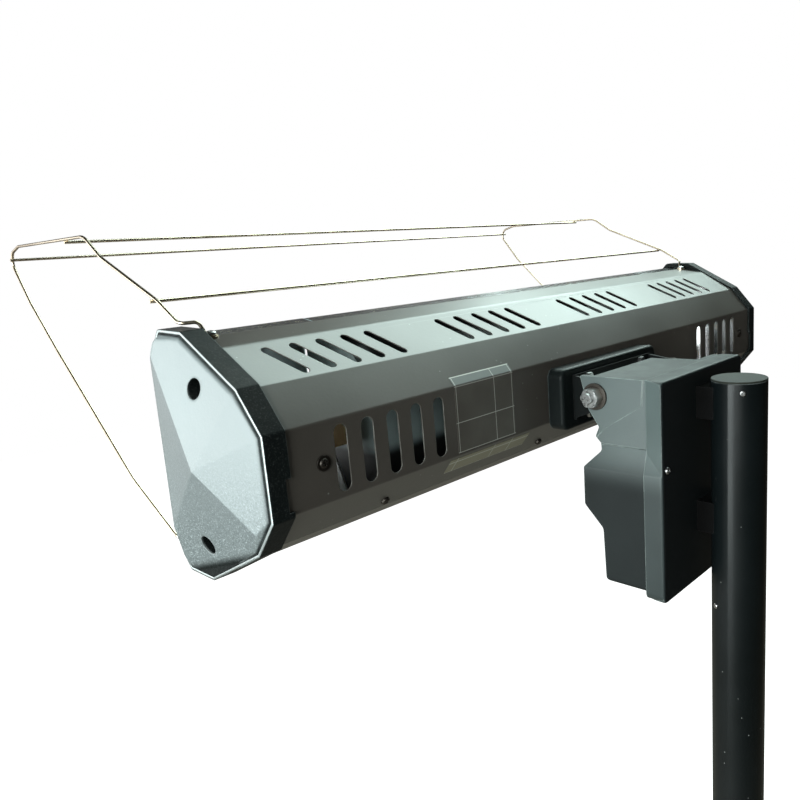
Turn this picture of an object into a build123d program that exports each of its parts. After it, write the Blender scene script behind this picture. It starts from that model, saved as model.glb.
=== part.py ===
from build123d import *
import math
import os

# Millimetres. Z up from the floor, X along the heater, the heating side faces -Y.
# The pole's axis is X = Y = 0. Side outlines are (Y, height over the pole's top).

# ---- stand ----
POLE_TOP = 1830.0
POLE_D = 50.0
POLE_WALL = 1.5
POLE_JOINT_Z = 900.0
POLE_CAP_T = 2.0
SLEEVE_WALL = 2.0
SLEEVE_LENGTH = 180.0
SLIDE_GAP = 0.05

COVER_D = 470.0
COVER_SHEET = 1.2
PLATE_EDGE_GAP = 2.8
PLATE_D = COVER_D - 2 * (COVER_SHEET + PLATE_EDGE_GAP)
PLATE_T = 8.0
PAD_MARGIN = 5.0
PAD_D = PLATE_D - 2 * PAD_MARGIN
PAD_T = 3.0
COVER_TOP = 30.0
COVER_FLAT_D = 140.0
FLANGE_D = 120.0
FLANGE_T = 6.0
SOCKET_HEIGHT = 125.0
BASE_BOLT_CIRCLE = 88.0
COLLAR_D = 66.0
COLLAR_T = 8.0

# ---- head ----
HEAD_HALF = 400.0
SKIRT_WIDTH = 17.7
CAP_LIP = 2.6
CAP_PLATE_T = 2.5
CAP_OUTLINE = [(-240, 87.4), (-173.3, 51), (-148.2, 21), (-148.2, -40), (-172, -69), (-244, -105),
               (-280, -105), (-286, -98), (-286, 76), (-275, 88.5)]
CAP_RADII = [3, 3, 3, 3, 3, 3, 5, 5, 8, 6]
GEM_HEIGHT = 21.0
GEM_DRAFT = 35.0
GEM_INSET = 2.6
GEM_WALL = 3.0
# Corners of the cap's faceted face: (Y, height, how proud of the rim).
GEM_PEAK = (-212.7, -7.2, 20)
GEM_REAR = (-150.6, 20, 1)
GEM_SHOULDER = (-175, 48.5, 2)
GEM_TOP = (-245, 83.3, 3)
GEM_FRONT_HIGH = (-265.3, 56.9, 10)
GEM_FRONT_LOW = (-277.5, -53, 10)
GEM_HEEL = (-152, -40, 1)
GEM_BEVEL = (-176, -66, 1.5)
GEM_TOE = (-283, -96, 3)
WELL_D = 15.0
WELL_WALL = 2.0
WELLS = [(-216.6, 48.9), (-234.4, -71.7)]
FACET_CUTTER = 700.0

SHEET = 1.0
SHEET_GAP = 0.3
HOUSING_HALF = HEAD_HALF - 12.0
FLANGE_BEND = (-218, 74.2)
FLANGE_EDGE = (-251, 80.4)
FLANGE_BEND_R = 12.0
BEND_R = 2.0
BOTTOM_EDGE_Y = -262.0
END_PLATE_X = HOUSING_HALF - 4.5

SLOT_LENGTH = 40.5
SLOT_WIDTH = 8.5
SLOT_TURN = 115.0
SLOT_MIDDLE = (-194.0, 62.4)
SLOT_GROUPS = [(HEAD_HALF - 103.0, 24.2), (116.6, 24.7), (-70.7, 25.2), (132.1 - HEAD_HALF, 24.3)]
SLOTS_IN_GROUP = 5
VENT_LENGTH = 50.0
VENT_WIDTH = 11.5
VENT_MIDDLE_Z = -10.0
VENT_PITCH = 24.9
VENT_GROUPS = [HEAD_HALF - 113.5, 119.0 - HEAD_HALF]
LABEL_END = VENT_GROUPS[0] - 69.5

REFLECTOR_T = 0.8
HEM_R = 1.2
REFLECTOR_HALF = HEAD_HALF - 125.0
TROUGH_R = 84.0
TROUGH_BACK_Y = -182.0
TROUGH_HALF_HEIGHT = 85.5
TROUGH_MOUTH_Y = -271.0
AXIS_Z = -8.0
LAMP_Y = -222.0
LAMP_D = 14.0
LAMP_WALL = 1.2
LAMP_HALF = REFLECTOR_HALF + 10.0
HOLDER_END = LAMP_HALF + 21.0
FRONT_SLOT_LENGTH = 80.0
FRONT_SLOT_WIDTH = 14.0
FRONT_SLOT_PITCH = 19.0

PIVOT = (-106.0, -12.0)
PAD_HALF = 89.0
PAD_TOP = 13.0
PAD_BOTTOM = -47.0
PAD_BACK_Y = -134.0
PAD_CORNER_R = 9.0
BRACKET_T = 3.0
EAR_OUTER = 71.5
EAR_R = 13.0
EAR_BEND = 12.5
LEAD_HOLE_D = 11.0
BOLT_D = 10.0

# ---- guard ----
WIRE_D = 2.8
GUARD_X = HEAD_HALF - 9.0
GUARD_FOOT_X = HOUSING_HALF - 15.0
ROD_HALF = GUARD_X + 3.0
ROD_REAR = (-294.0, 108.2)
ROD_MIDDLE = (-444.0, 160.65)
ROD_FRONT = (-596.5, 150.9)

# ---- control box ----
BOX_WALL = 2.6
CHEEK_INNER = 73.0
CHEEK_OUTER = 76.0
CREASE_STEP = 0.8
SEAM_Y = -52.5
COVER_BACK_Y = -33.0
BOX_SIDE = [(-122.5, 7.5), (SEAM_Y, 7), (SEAM_Y, -193.5), (-96.5, -193.5), (-98, -139), (-118, -118),
            (-117.5, -80), (-99.5, -63), (-101, -57.5), (-107.5, -51), (-103, -41), (-114, -25)]
BOX_SIDE_R = [2, 0, 0, 6, 8, 5, 3, 4, 3, 4, 2, 6]
BOX_FRONT = [(76, 9), (76, -56), (82.6, -80), (82, -193.5)]
POCKET = [(-125, 4.4), (-60.5, 4.4), (-60.5, -14.5), (-97, -37.5), (-125, -37.5)]
TOP_END_X = -34.0
SHOULDER_Z = 0.5
COVER_HALF = 84.0
COVER_TOP_Z = 7.5
COVER_LOW_Z = -200.0
COVER_FRONT = [(77.3, COVER_TOP_Z), (77.3, -60), (COVER_HALF, -78), (COVER_HALF, COVER_LOW_Z)]
COVER_SCREW = (76.5, -73.0)
POLE_BOLT_ZS = [-22.5, -133.6]
POLE_BOLT_D = 8.0
MOUNT_PLATE_T = 3.0
SWITCH_Z = -166.0
BOARD_Y = -60.0
GLAND_X = 34.0
GLAND_D = 16.0
GLAND_COLLAR_D = 22.0
GLAND_BORE_D = 8.5
LEAD_WAY_D = 14.0
PIVOT_WASHER_D = 25.5
FRICTION_D = 25.0


# ---------------------------------------------------------------- helpers
def side_plane(x):
    """Sketch x is world Y, sketch y is height over the pole's top, and its normal is +X."""
    return Plane(origin=(x, 0, POLE_TOP), x_dir=(0, 1, 0), z_dir=(1, 0, 0))


def front_plane(y):
    """Sketch x is world X, sketch y is height over the pole's top, and its normal is -Y."""
    return Plane(origin=(0, y, POLE_TOP), x_dir=(1, 0, 0), z_dir=(0, -1, 0))


def outline(points, radii=0):
    """A filled outline whose corners are rounded by the radii."""
    return make_face(FilletPolyline(*points, radius=radii, close=True))


def slab(face, x0, x1):
    """A side outline carried along X from x0 to x1."""
    return extrude(side_plane(x0) * face, amount=x1 - x0)


def shifted(points, distance, closed=True):
    """The points moved so that every side lies that far to the left of its old line."""
    moved = []
    count = len(points)
    for i, (u, v) in enumerate(points):
        normals = []
        for a, b in ((i - 1, i), (i, i + 1)):
            if closed or (a >= 0 and b < count):
                (au, av), (bu, bv) = points[a % count], points[b % count]
                length = math.hypot(bu - au, bv - av)
                normals.append(((av - bv) / length, (bu - au) / length))
        nu = sum(n[0] for n in normals)
        nv = sum(n[1] for n in normals)
        scale = distance / ((nu * nu + nv * nv) / len(normals))
        moved.append((u + nu * scale, v + nv * scale))
    return moved


def ribbon(points, bends, thickness):
    """The outline of a bent sheet on the left of the points (right if the thickness is negative).

    Each bend is the radius on the inside of its corner.
    """
    if not isinstance(bends, list):
        bends = [bends] * (len(points) - 2)
    far = shifted(points, thickness, closed=False)
    near_r, far_r = [], []
    for bend, a, b, c in zip(bends, points, points[1:], points[2:]):
        left = (b[0] - a[0]) * (c[1] - b[1]) - (b[1] - a[1]) * (c[0] - b[0]) > 0
        outer = left == (thickness > 0)
        near_r.append(bend + abs(thickness) if outer else bend)
        far_r.append(bend if outer else bend + abs(thickness))
    return outline(points + far[::-1], [0] + near_r + [0, 0] + far_r[::-1] + [0])


def mirrored_outline(half):
    """Points of a right half, from the top down, with their mirror images."""
    return half + [(-x, z) for x, z in half[::-1]]


def rod(start, direction, diameter, length):
    """A round bar from a point in (X, Y, height over the pole's top)."""
    x, y, z = start
    plane = Plane(origin=(x, y, z + POLE_TOP), z_dir=direction)
    return extrude(plane * Circle(diameter / 2), amount=length)


def block(x0, x1, y0, y1, z0, z1):
    """A box between two corners, with heights over the pole's top."""
    middle = ((x0 + x1) / 2, (y0 + y1) / 2, (z0 + z1) / 2 + POLE_TOP)
    return Pos(*middle) * Box(abs(x1 - x0), abs(y1 - y0), abs(z1 - z0))


def seat(point, direction):
    """A plane on a surface point: its normal points out, its x runs along X if it can."""
    x, y, z = point
    way = Vector(direction)
    across = (0, 1, 0) if abs(way.X) > 0.7 * way.length else (1, 0, 0)
    across = Vector(across) - way * (Vector(across).dot(way) / way.dot(way))
    return Plane(origin=(x, y, z + POLE_TOP), x_dir=across, z_dir=way)


def pan_screw(point, direction, shank_d, length):
    """A cross-recessed pan-head screw whose head stands on the point."""
    head_d, head_h = 1.9 * shank_d, 0.62 * shank_d
    head = extrude(Circle(head_d / 2), amount=head_h)
    head = fillet(head.faces().sort_by(Axis.Z)[-1].edges(), 0.7 * head_h)
    recess = Rectangle(0.95 * shank_d, 0.2 * shank_d) + Rectangle(0.2 * shank_d, 0.95 * shank_d)
    head -= Pos(0, 0, 0.45 * head_h) * extrude(recess, amount=head_h)
    shank = Pos(0, 0, -length) * extrude(Circle(shank_d / 2), amount=length)
    return seat(point, direction).location * (head + shank)


def hex_bolt(point, direction, shank_d, length):
    """A hexagon-head bolt whose head stands on the point."""
    disc = extrude(Circle(0.97 * shank_d), amount=0.64 * shank_d)
    disc = chamfer(disc.faces().sort_by(Axis.Z)[-1].edges(), 0.14 * shank_d)
    head = disc & extrude(RegularPolygon(0.98 * shank_d, 6), amount=0.64 * shank_d)
    shank = Pos(0, 0, -length) * extrude(Circle(shank_d / 2), amount=length)
    return seat(point, direction).location * (head + shank)


def wire(points, bends, diameter):
    """A round wire along straight runs joined by arcs, with a radius for each corner."""
    path = [Vector(x, y, z + POLE_TOP) for x, y, z in points]
    edges, last = [], path[0]
    for bend, before, corner, after in zip(bends, path, path[1:], path[2:]):
        back = (before - corner).normalized()
        ahead = (after - corner).normalized()
        half = back.get_angle(ahead) / 2
        run = bend / math.tan(math.radians(half))
        to_middle = bend / math.sin(math.radians(half)) - bend
        middle = corner + (back + ahead).normalized() * to_middle
        entry, leave = corner + back * run, corner + ahead * run
        edges += [Line(last, entry), ThreePointArc(entry, middle, leave)]
        last = leave
    edges.append(Line(last, path[-1]))
    start = Plane(origin=path[0], z_dir=path[1] - path[0])
    return sweep(start * Circle(diameter / 2), path=Wire([e.edge() for e in edges]))


def one(shape):
    """The shape as a single solid, refusing anything in pieces."""
    solids = shape.solids()
    if len(solids) != 1:
        raise ValueError(f"{len(solids)} solids where one was expected")
    return solids[0]


def both_sides(shape):
    """A shape and its mirror image across X = 0."""
    return [shape, mirror(shape, about=Plane.YZ)]


# ---------------------------------------------------------------- head: sheet metal
def housing_points():
    """Outside corners of the bent housing, from the top front round the rear to the bottom."""
    inner = shifted(CAP_OUTLINE, -CAP_LIP)
    bottom = (BOTTOM_EDGE_Y, inner[5][1])
    return [FLANGE_EDGE, FLANGE_BEND] + inner[1:6] + [bottom]


def panel_plane(index):
    """A plane on the housing's outside at the middle of the side that starts at that corner."""
    (y0, z0), (y1, z1) = housing_points()[index:index + 2]
    middle = (0, (y0 + y1) / 2, POLE_TOP + (z0 + z1) / 2)
    return Plane(origin=middle, x_dir=(1, 0, 0), z_dir=(0, z0 - z1, y1 - y0))


def panel_point(index, x, share):
    """A point on the housing's outside, that share of the way down the side."""
    (y0, z0), (y1, z1) = housing_points()[index:index + 2]
    return (x, y0 + (y1 - y0) * share, z0 + (z1 - z0) * share)


UPPER_PANEL, SLANT, REAR, BEVEL, UNDERSIDE, BOTTOM = range(1, 7)
REAR_SCREW_X = END_PLATE_X - 30.0
BEVEL_SCREW_XS = [LAMP_HALF + 2.0, 86.0]
HOUSING_SCREW_D = 3.9
SCREW_FLANGE_D = 11.5
HOUSING_HOLE_D = 4.1


def housing_screw_places():
    """Each screw of the housing: where its head stands and which way is out."""
    rear, bevel = panel_plane(REAR).z_dir, panel_plane(BEVEL).z_dir
    places = [(panel_point(REAR, side * REAR_SCREW_X, 0.5), rear) for side in (1, -1)]
    for x in BEVEL_SCREW_XS:
        places += [(panel_point(BEVEL, side * x, 0.78), bevel) for side in (1, -1)]
    return places


def housing_screws():
    """Pan heads on the bevel, and wider flanged heads on the rear panel."""
    rear = panel_plane(REAR).z_dir
    screws = []
    for point, out in housing_screw_places():
        screw = pan_screw(point, out, HOUSING_SCREW_D, 5)
        if out == rear:
            screw += extrude(seat(point, out) * Circle(SCREW_FLANGE_D / 2), amount=1.2)
        screws.append(one(screw))
    return screws


def guard_screw_places():
    """Feet of the wire guard: two on the top flange and two under the bottom edge."""
    top = panel_plane(0).z_dir
    bottom = panel_plane(BOTTOM).z_dir
    return [(panel_point(0, side * GUARD_FOOT_X, 0.12), top) for side in (1, -1)] \
        + [(panel_point(BOTTOM, side * GUARD_FOOT_X, 0.62), bottom) for side in (1, -1)]


def slots():
    """Slanted slots of the upper panel, in four groups."""
    plane = panel_plane(UPPER_PANEL)
    plane = Plane(origin=(0, SLOT_MIDDLE[0], POLE_TOP + SLOT_MIDDLE[1]), x_dir=plane.x_dir,
                  z_dir=plane.z_dir)
    cutters = []
    for middle, pitch in SLOT_GROUPS:
        for i in range(SLOTS_IN_GROUP):
            x = middle + (i - (SLOTS_IN_GROUP - 1) / 2) * pitch
            slot = Pos(x, 0) * SlotOverall(SLOT_LENGTH, SLOT_WIDTH, rotation=SLOT_TURN)
            cutters.append(extrude(plane * slot, amount=6, both=True))
    return cutters


def vents():
    """Upright vents of the rear panel, five near each end."""
    plane = front_plane(panel_point(REAR, 0, 0.5)[1])
    cutters = []
    for middle in VENT_GROUPS:
        for i in range(SLOTS_IN_GROUP):
            x = middle + (i - (SLOTS_IN_GROUP - 1) / 2) * VENT_PITCH
            slot = Pos(x, VENT_MIDDLE_Z) * SlotOverall(VENT_LENGTH, VENT_WIDTH, rotation=90)
            cutters.append(extrude(plane * slot, amount=6, both=True))
    return cutters


GROMMET_X, GROMMET_Z, GROMMET_D = 0.0, -30.0, 16.0
BRACKET_SCREW_XS = [50.0, -50.0]
BRACKET_SCREW_ZS = [0.0, -34.0]
BRACKET_SCREW_D = 6.0


def housing_shell():
    section = ribbon(housing_points(), [FLANGE_BEND_R] + [BEND_R] * 5, -SHEET)
    shell = slab(section, -HOUSING_HALF, HOUSING_HALF)
    shell -= slots() + vents()
    for point, out in housing_screw_places() + guard_screw_places():
        shell -= extrude(seat(point, out) * Circle(HOUSING_HOLE_D / 2), amount=4, both=True)
    return one(shell - bracket_screw_bores(0.1) - lead_bore(GROMMET_D))


def bracket_screw_bores(clearance):
    """Four holes along Y through the mount pad, the housing and the stiffener."""
    return [rod((x, -165, z), (0, 1, 0), BRACKET_SCREW_D + clearance, 45)
            for x in BRACKET_SCREW_XS for z in BRACKET_SCREW_ZS]


def lead_bore(diameter):
    return rod((GROMMET_X, -165, GROMMET_Z), (0, 1, 0), diameter, 45)


def bend_along_housing(first, last, gap, thickness, bend):
    """A sheet that follows the inside of the housing between two points of its path."""
    path = housing_points()
    ends = [panel_point(*first)[1:]] + path[first[0] + 1:last[0] + 1] + [panel_point(*last)[1:]]
    return ribbon(shifted(ends, -(SHEET + gap), closed=False), bend, -thickness)


def back_stiffener():
    """A bent plate inside the rear panel that spreads the tilt bracket's load."""
    plate = slab(bend_along_housing((REAR, 0, 0.12), (BEVEL, 0, 0.35), 0, 2.0, 2.0), -96, 96)
    for x in BRACKET_SCREW_XS:
        for z in BRACKET_SCREW_ZS:
            plate += rod((x, -159.6, z), (0, 1, 0), 11, 6.5)
    for point, out in housing_screw_places():
        plate -= extrude(seat(point, out) * Circle(HOUSING_HOLE_D / 2), amount=6, both=True)
    return one(plate - bracket_screw_bores(0.1) - lead_bore(GROMMET_D))


def reflector_path():
    """Inside corners of the polished trough, from the top lip round to the bottom lip."""
    lip_top = shifted([FLANGE_EDGE, FLANGE_BEND], -(SHEET + SHEET_GAP), closed=False)
    (fy, fz), (by, bz) = lip_top
    slope = (fz - bz) / (fy - by)
    start = (-238.0, fz + slope * (-238.0 - fy))
    nose = (TROUGH_MOUTH_Y, fz + slope * (TROUGH_MOUTH_Y - fy))
    floor = housing_points()[-1][1] + SHEET + SHEET_GAP
    top, bottom = AXIS_Z + TROUGH_HALF_HEIGHT, AXIS_Z - TROUGH_HALF_HEIGHT
    return start, nose, top, bottom, (TROUGH_MOUTH_Y, floor), (-250.0, floor)


def reflector():
    start, nose, top, bottom, chin, end = reflector_path()
    lip = TROUGH_MOUTH_Y + 1.5
    points = [start, nose, (lip, top), (TROUGH_BACK_Y, top), (TROUGH_BACK_Y, bottom),
              (lip, bottom), chin, end]
    bends = [HEM_R, HEM_R, TROUGH_R, TROUGH_R, HEM_R, HEM_R]
    return one(slab(ribbon(points, bends, REFLECTOR_T), -REFLECTOR_HALF, REFLECTOR_HALF))


def lamp_rod(diameter, x0, x1):
    return rod((x0, LAMP_Y, AXIS_Z), (1, 0, 0), diameter, x1 - x0)


def reflector_end():
    """Plate that closes the trough's end, with the hole that the lamp passes through."""
    edge = TROUGH_HALF_HEIGHT + REFLECTOR_T
    corners = [(TROUGH_MOUTH_Y + 3, AXIS_Z + edge), (TROUGH_BACK_Y + REFLECTOR_T, AXIS_Z + edge),
               (TROUGH_BACK_Y + REFLECTOR_T, AXIS_Z - edge), (TROUGH_MOUTH_Y + 3, AXIS_Z - edge)]
    plate = slab(outline(corners, [0, TROUGH_R, TROUGH_R, 0]), REFLECTOR_HALF, REFLECTOR_HALF + 1)
    return one(plate - lamp_rod(LAMP_D + 5, REFLECTOR_HALF - 5, REFLECTOR_HALF + 5))


def front_cover():
    """Bright vented plate over the terminal space beside the reflector."""
    start, nose, _, _, chin, end = reflector_path()
    sheet = ribbon([start, nose, chin, end], HEM_R, REFLECTOR_T)
    cover = slab(sheet, REFLECTOR_HALF + 1.3, END_PLATE_X - 0.3)
    middle = (REFLECTOR_HALF + END_PLATE_X) / 2
    for i in range(SLOTS_IN_GROUP):
        x = middle + (i - (SLOTS_IN_GROUP - 1) / 2) * FRONT_SLOT_PITCH
        slot = Pos(x, AXIS_Z) * SlotOverall(FRONT_SLOT_LENGTH, FRONT_SLOT_WIDTH, rotation=90)
        cover -= extrude(front_plane(TROUGH_MOUTH_Y) * slot, amount=6, both=True)
    for point, out in guard_screw_places():
        cover -= extrude(seat(point, out) * Circle(HOUSING_HOLE_D / 2), amount=8, both=True)
    return one(cover)


def end_plate():
    """Bright bulkhead across the housing's end, which the cap's screws reach."""
    inside = shifted(housing_points()[2:7], -(SHEET + 0.2), closed=False)
    start, nose, _, _, chin, _ = reflector_path()
    top = housing_points()[1]
    corners = [(nose[0] + 2.5, nose[1] - 2.5), (top[0], top[1] - 3.2)] + inside[:5] \
        + [(chin[0] + 2.5, chin[1] + 2.5)]
    plate = slab(outline(corners), END_PLATE_X, END_PLATE_X + SHEET)
    rear = panel_point(REAR, 0, 0.5)[1] - SHEET - 0.2
    plate += block(END_PLATE_X + SHEET, REAR_SCREW_X - 5, rear - SHEET, rear, -30, 8)
    for y, z in WELLS:
        plate += rod((END_PLATE_X - 4, y, z), (1, 0, 0), 9, 4)
        plate -= rod((END_PLATE_X - 5, y, z), (1, 0, 0), 4.0, 7)
    for point, out in housing_screw_places():
        plate -= extrude(seat(point, out) * Circle(HOUSING_HOLE_D / 2), amount=6, both=True)
    return one(plate)


# ---------------------------------------------------------------- head: end caps
def facet_cut(a, b, c):
    """A block that takes away everything proud of the facet through three corners."""
    corners = [Vector(HEAD_HALF + p[2], p[0], p[1] + POLE_TOP) for p in (a, b, c)]
    normal = (corners[1] - corners[0]).cross(corners[2] - corners[0])
    if normal.X < 0:
        normal = normal * -1
    plane = Plane(origin=corners[0], z_dir=normal)
    return extrude(plane * Rectangle(FACET_CUTTER, FACET_CUTTER), amount=120)


def gem():
    """The faceted face of an end cap, proud of its rim."""
    foot = outline(shifted(CAP_OUTLINE, -GEM_INSET), CAP_RADII)
    body = extrude(side_plane(HEAD_HALF - 1) * foot, amount=GEM_HEIGHT + 1, taper=GEM_DRAFT)
    facets = [(GEM_PEAK, GEM_REAR, GEM_SHOULDER), (GEM_PEAK, GEM_SHOULDER, GEM_TOP),
              (GEM_PEAK, GEM_TOP, GEM_FRONT_HIGH), (GEM_PEAK, GEM_FRONT_HIGH, GEM_FRONT_LOW),
              (GEM_PEAK, GEM_REAR, GEM_HEEL), (GEM_PEAK, GEM_BEVEL, GEM_TOE)]
    for corners in facets:
        body -= facet_cut(*corners)
    return one(body)


def end_cap():
    """Moulded cap: skirt over the housing's end, rim, faceted face and two screw wells."""
    rim = outline(CAP_OUTLINE, CAP_RADII)
    inboard = HEAD_HALF - SKIRT_WIDTH
    skirt = slab(rim, inboard, HEAD_HALF)
    face = gem()
    hollow = housing_points()
    hollow = shifted([(BOTTOM_EDGE_Y - 12, hollow[-1][1]), (TROUGH_MOUTH_Y - 6, -80),
                      (TROUGH_MOUTH_Y - 6, 70), (TROUGH_MOUTH_Y - 2, 84.2), FLANGE_BEND]
                     + hollow[2:7], SHEET_GAP)
    inside = slab(outline(hollow), inboard - 1, HEAD_HALF - CAP_PLATE_T)
    cap = skirt + face - inside
    cavity = Pos(-GEM_WALL, 0, 0) * face
    cap -= cavity & slab(outline(shifted(CAP_OUTLINE, -GEM_INSET - 3)), HEAD_HALF - 4, HEAD_HALF + 30)
    floor_x = END_PLATE_X + SHEET
    for y, z in WELLS:
        boss = rod((floor_x, y, z), (1, 0, 0), WELL_D + 2 * WELL_WALL, HEAD_HALF - floor_x + 1)
        reach = rod((HEAD_HALF, y, z), (1, 0, 0), WELL_D + 2 * WELL_WALL, GEM_HEIGHT)
        cap += boss + (reach & face)
        cap -= rod((floor_x + 3, y, z), (1, 0, 0), WELL_D, 60)
        cap -= rod((floor_x - 1, y, z), (1, 0, 0), 4.4, 10)
    notch = block(inboard - 1, inboard + 4.2, -160, -140, -36, -12)
    return one(cap - notch)


def cap_screws():
    """Two cross-head screws at the foot of each cap's wells."""
    places = [(END_PLATE_X + SHEET + 3, y, z) for y, z in WELLS]
    right = [pan_screw(place, (1, 0, 0), 3.94, 7.5) for place in places]
    return right + [mirror(s, about=Plane.YZ) for s in right]


# ---------------------------------------------------------------- head: lamp and wiring
def lamp_tube():
    """Gold-tinted quartz tube, closed by its ceramic end blocks."""
    tube = lamp_rod(LAMP_D, -LAMP_HALF, LAMP_HALF)
    return one(tube - lamp_rod(LAMP_D - 2 * LAMP_WALL, -LAMP_HALF, LAMP_HALF))


def lamp_filament():
    return one(lamp_rod(4.0, -LAMP_HALF + 4, LAMP_HALF - 4))


def lamp_holders():
    """Ceramic blocks that grip the lamp's ends, each with a flat for its bracket."""
    cube = block(LAMP_HALF - 6, HOLDER_END, LAMP_Y - 13, LAMP_Y + 13, AXIS_Z - 12, AXIS_Z + 12)
    cube = fillet(cube.edges().filter_by(Axis.X), 3)
    cube -= lamp_rod(LAMP_D + 0.1, LAMP_HALF - 20, LAMP_HALF)
    cube -= lamp_rod(4.1, LAMP_HALF - 20, LAMP_HALF + 8)
    cube -= block(HOLDER_END - 5, HOLDER_END + 1, LAMP_Y - 3, LAMP_Y + 3, AXIS_Z - 6, AXIS_Z + 6)
    return both_sides(one(cube))


def lamp_brackets():
    """Bent plates that carry the ceramic blocks from the lower bevel."""
    inner = bend_along_housing((BEVEL, 0, 0.4), (UNDERSIDE, 0, 0.6), 0, 1.5, 1.5)
    foot = slab(inner, BEVEL_SCREW_XS[0] - 8, HOLDER_END + 1.5)
    post = slab(outline([(-234, 2), (-210, 2), (-186, -60), (-186, -84), (-216, -100)], 3),
                HOLDER_END, HOLDER_END + 1.5)
    room = slab(outline(shifted(housing_points(), -(SHEET + 0.3))), 0, HEAD_HALF)
    bracket = foot + (post & room)
    for point, out in housing_screw_places():
        bracket -= extrude(seat(point, out) * Circle(HOUSING_HOLE_D / 2), amount=6, both=True)
    return both_sides(one(bracket))


def overheat_cutout():
    """Round bimetal switch with two blade terminals, on the slant panel's inside."""
    x, y, z = panel_point(SLANT, HOLDER_END + 14, 0.5)
    out = panel_plane(SLANT).z_dir
    plane = seat((x, y, z), out)
    inside = plane.offset(-SHEET - 0.2)
    body = extrude(inside * Circle(8), amount=-8)
    body += extrude(inside * (Circle(11) & Rectangle(30, 7)), amount=-1)
    for side in (1, -1):
        body += extrude(inside.offset(-8) * Pos(side * 4, 0) * Rectangle(0.8, 6), amount=-8)
    return one(body)


def terminal_block():
    """Three-way ceramic block where the leads meet, on the lower bevel's inside."""
    x, y, z = panel_point(BEVEL, 48.5 - END_PLATE_X, 0.5)
    inside = seat((x, y, z), panel_plane(BEVEL).z_dir).offset(-SHEET - 0.2)
    body = extrude(inside * Rectangle(44, 20), amount=-17)
    body = fillet(body.edges().filter_by(lambda e: e.length < 18 and e.length > 16), 1.5)
    for i in (-1, 0, 1):
        place = inside.offset(-17) * Pos(i * 13, 0)
        body -= extrude(place * Rectangle(8, 30), amount=7)
    return one(body)


def lead_grommet():
    """Rubber ring where the lead enters the housing behind the pad."""
    rear = panel_point(REAR, 0, 0.5)[1]
    ring = rod((GROMMET_X, rear - SHEET - 5, GROMMET_Z), (0, 1, 0), GROMMET_D - 0.1, 21)
    ring -= rod((GROMMET_X, rear - 10, GROMMET_Z), (0, 1, 0), 9, 40)
    return one(ring)


# ---------------------------------------------------------------- head: outside pieces
LABEL_T = 0.25


def rating_label():
    """Bare foil plate that wraps from the slant panel on to the rear panel."""
    path = housing_points()
    ends = [panel_point(SLANT, 0, 0.76)[1:], path[REAR], panel_point(REAR, 0, 0.97)[1:]]
    return one(slab(ribbon(ends, BEND_R + SHEET, LABEL_T), LABEL_END - 76, LABEL_END))


def lower_label():
    """Bare foil strip on the lower bevel."""
    ends = [panel_point(BEVEL, 0, 0.12)[1:], panel_point(BEVEL, 0, 0.58)[1:]]
    return one(slab(ribbon(ends, 0, LABEL_T), LABEL_END - 100, LABEL_END + 7))


def mount_pad():
    """Rounded block between the rear panel and the tilt bracket."""
    rear = panel_point(REAR, 0, 0.5)[1]
    face = Pos(0, (PAD_TOP + PAD_BOTTOM) / 2) * RectangleRounded(
        2 * PAD_HALF, PAD_TOP - PAD_BOTTOM, PAD_CORNER_R)
    pad = extrude(front_plane(PAD_BACK_Y) * face, amount=PAD_BACK_Y - rear)
    pad = fillet(pad.faces().sort_by(Axis.Y)[-1].edges(), 3.0)
    return one(pad - bracket_screw_bores(0.1) - lead_bore(GROMMET_D))


def tilt_bracket():
    """U-shaped steel bracket whose ears carry the pivot bolt."""
    y, z = PIVOT
    back = PAD_BACK_Y
    ear_face = outline([(back, 6), (back, -38), (back + BRACKET_T, -36), (y + EAR_R, z - 8.8),
                        (y + EAR_R, z + 11.1), (back + BRACKET_T, 5)],
                       [0, 0, 0, EAR_BEND, EAR_BEND, 0])
    bracket = block(-EAR_OUTER, EAR_OUTER, back, back + BRACKET_T, -38, 6)
    for x0 in (-EAR_OUTER, EAR_OUTER - BRACKET_T):
        bracket += slab(ear_face, x0, x0 + BRACKET_T)
    bracket -= rod((-90, y, z), (1, 0, 0), BOLT_D + 2 * SLIDE_GAP, 180)
    return one(bracket - bracket_screw_bores(0.1) - lead_bore(LEAD_HOLE_D))


def bracket_screws():
    """Four screws that hold the tilt bracket and pad to the stiffener's welded nuts."""
    return [hex_bolt((x, PAD_BACK_Y + BRACKET_T, z), (0, 1, 0), BRACKET_SCREW_D, 28)
            for x in BRACKET_SCREW_XS for z in BRACKET_SCREW_ZS]


def pivot_tube():
    """Spacer round the pivot bolt between the bracket's ears."""
    y, z = PIVOT
    half = EAR_OUTER - BRACKET_T
    tube = rod((-half, y, z), (1, 0, 0), 16, 2 * half)
    return one(tube - rod((-half - 1, y, z), (1, 0, 0), BOLT_D + 2 * SLIDE_GAP, 2 * half + 2))


# ---------------------------------------------------------------- head: wire guard
TAB = 11.0
TAB_T = 1.5
SEAT_D = 9.0
SEAT_H = 2.4


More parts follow.
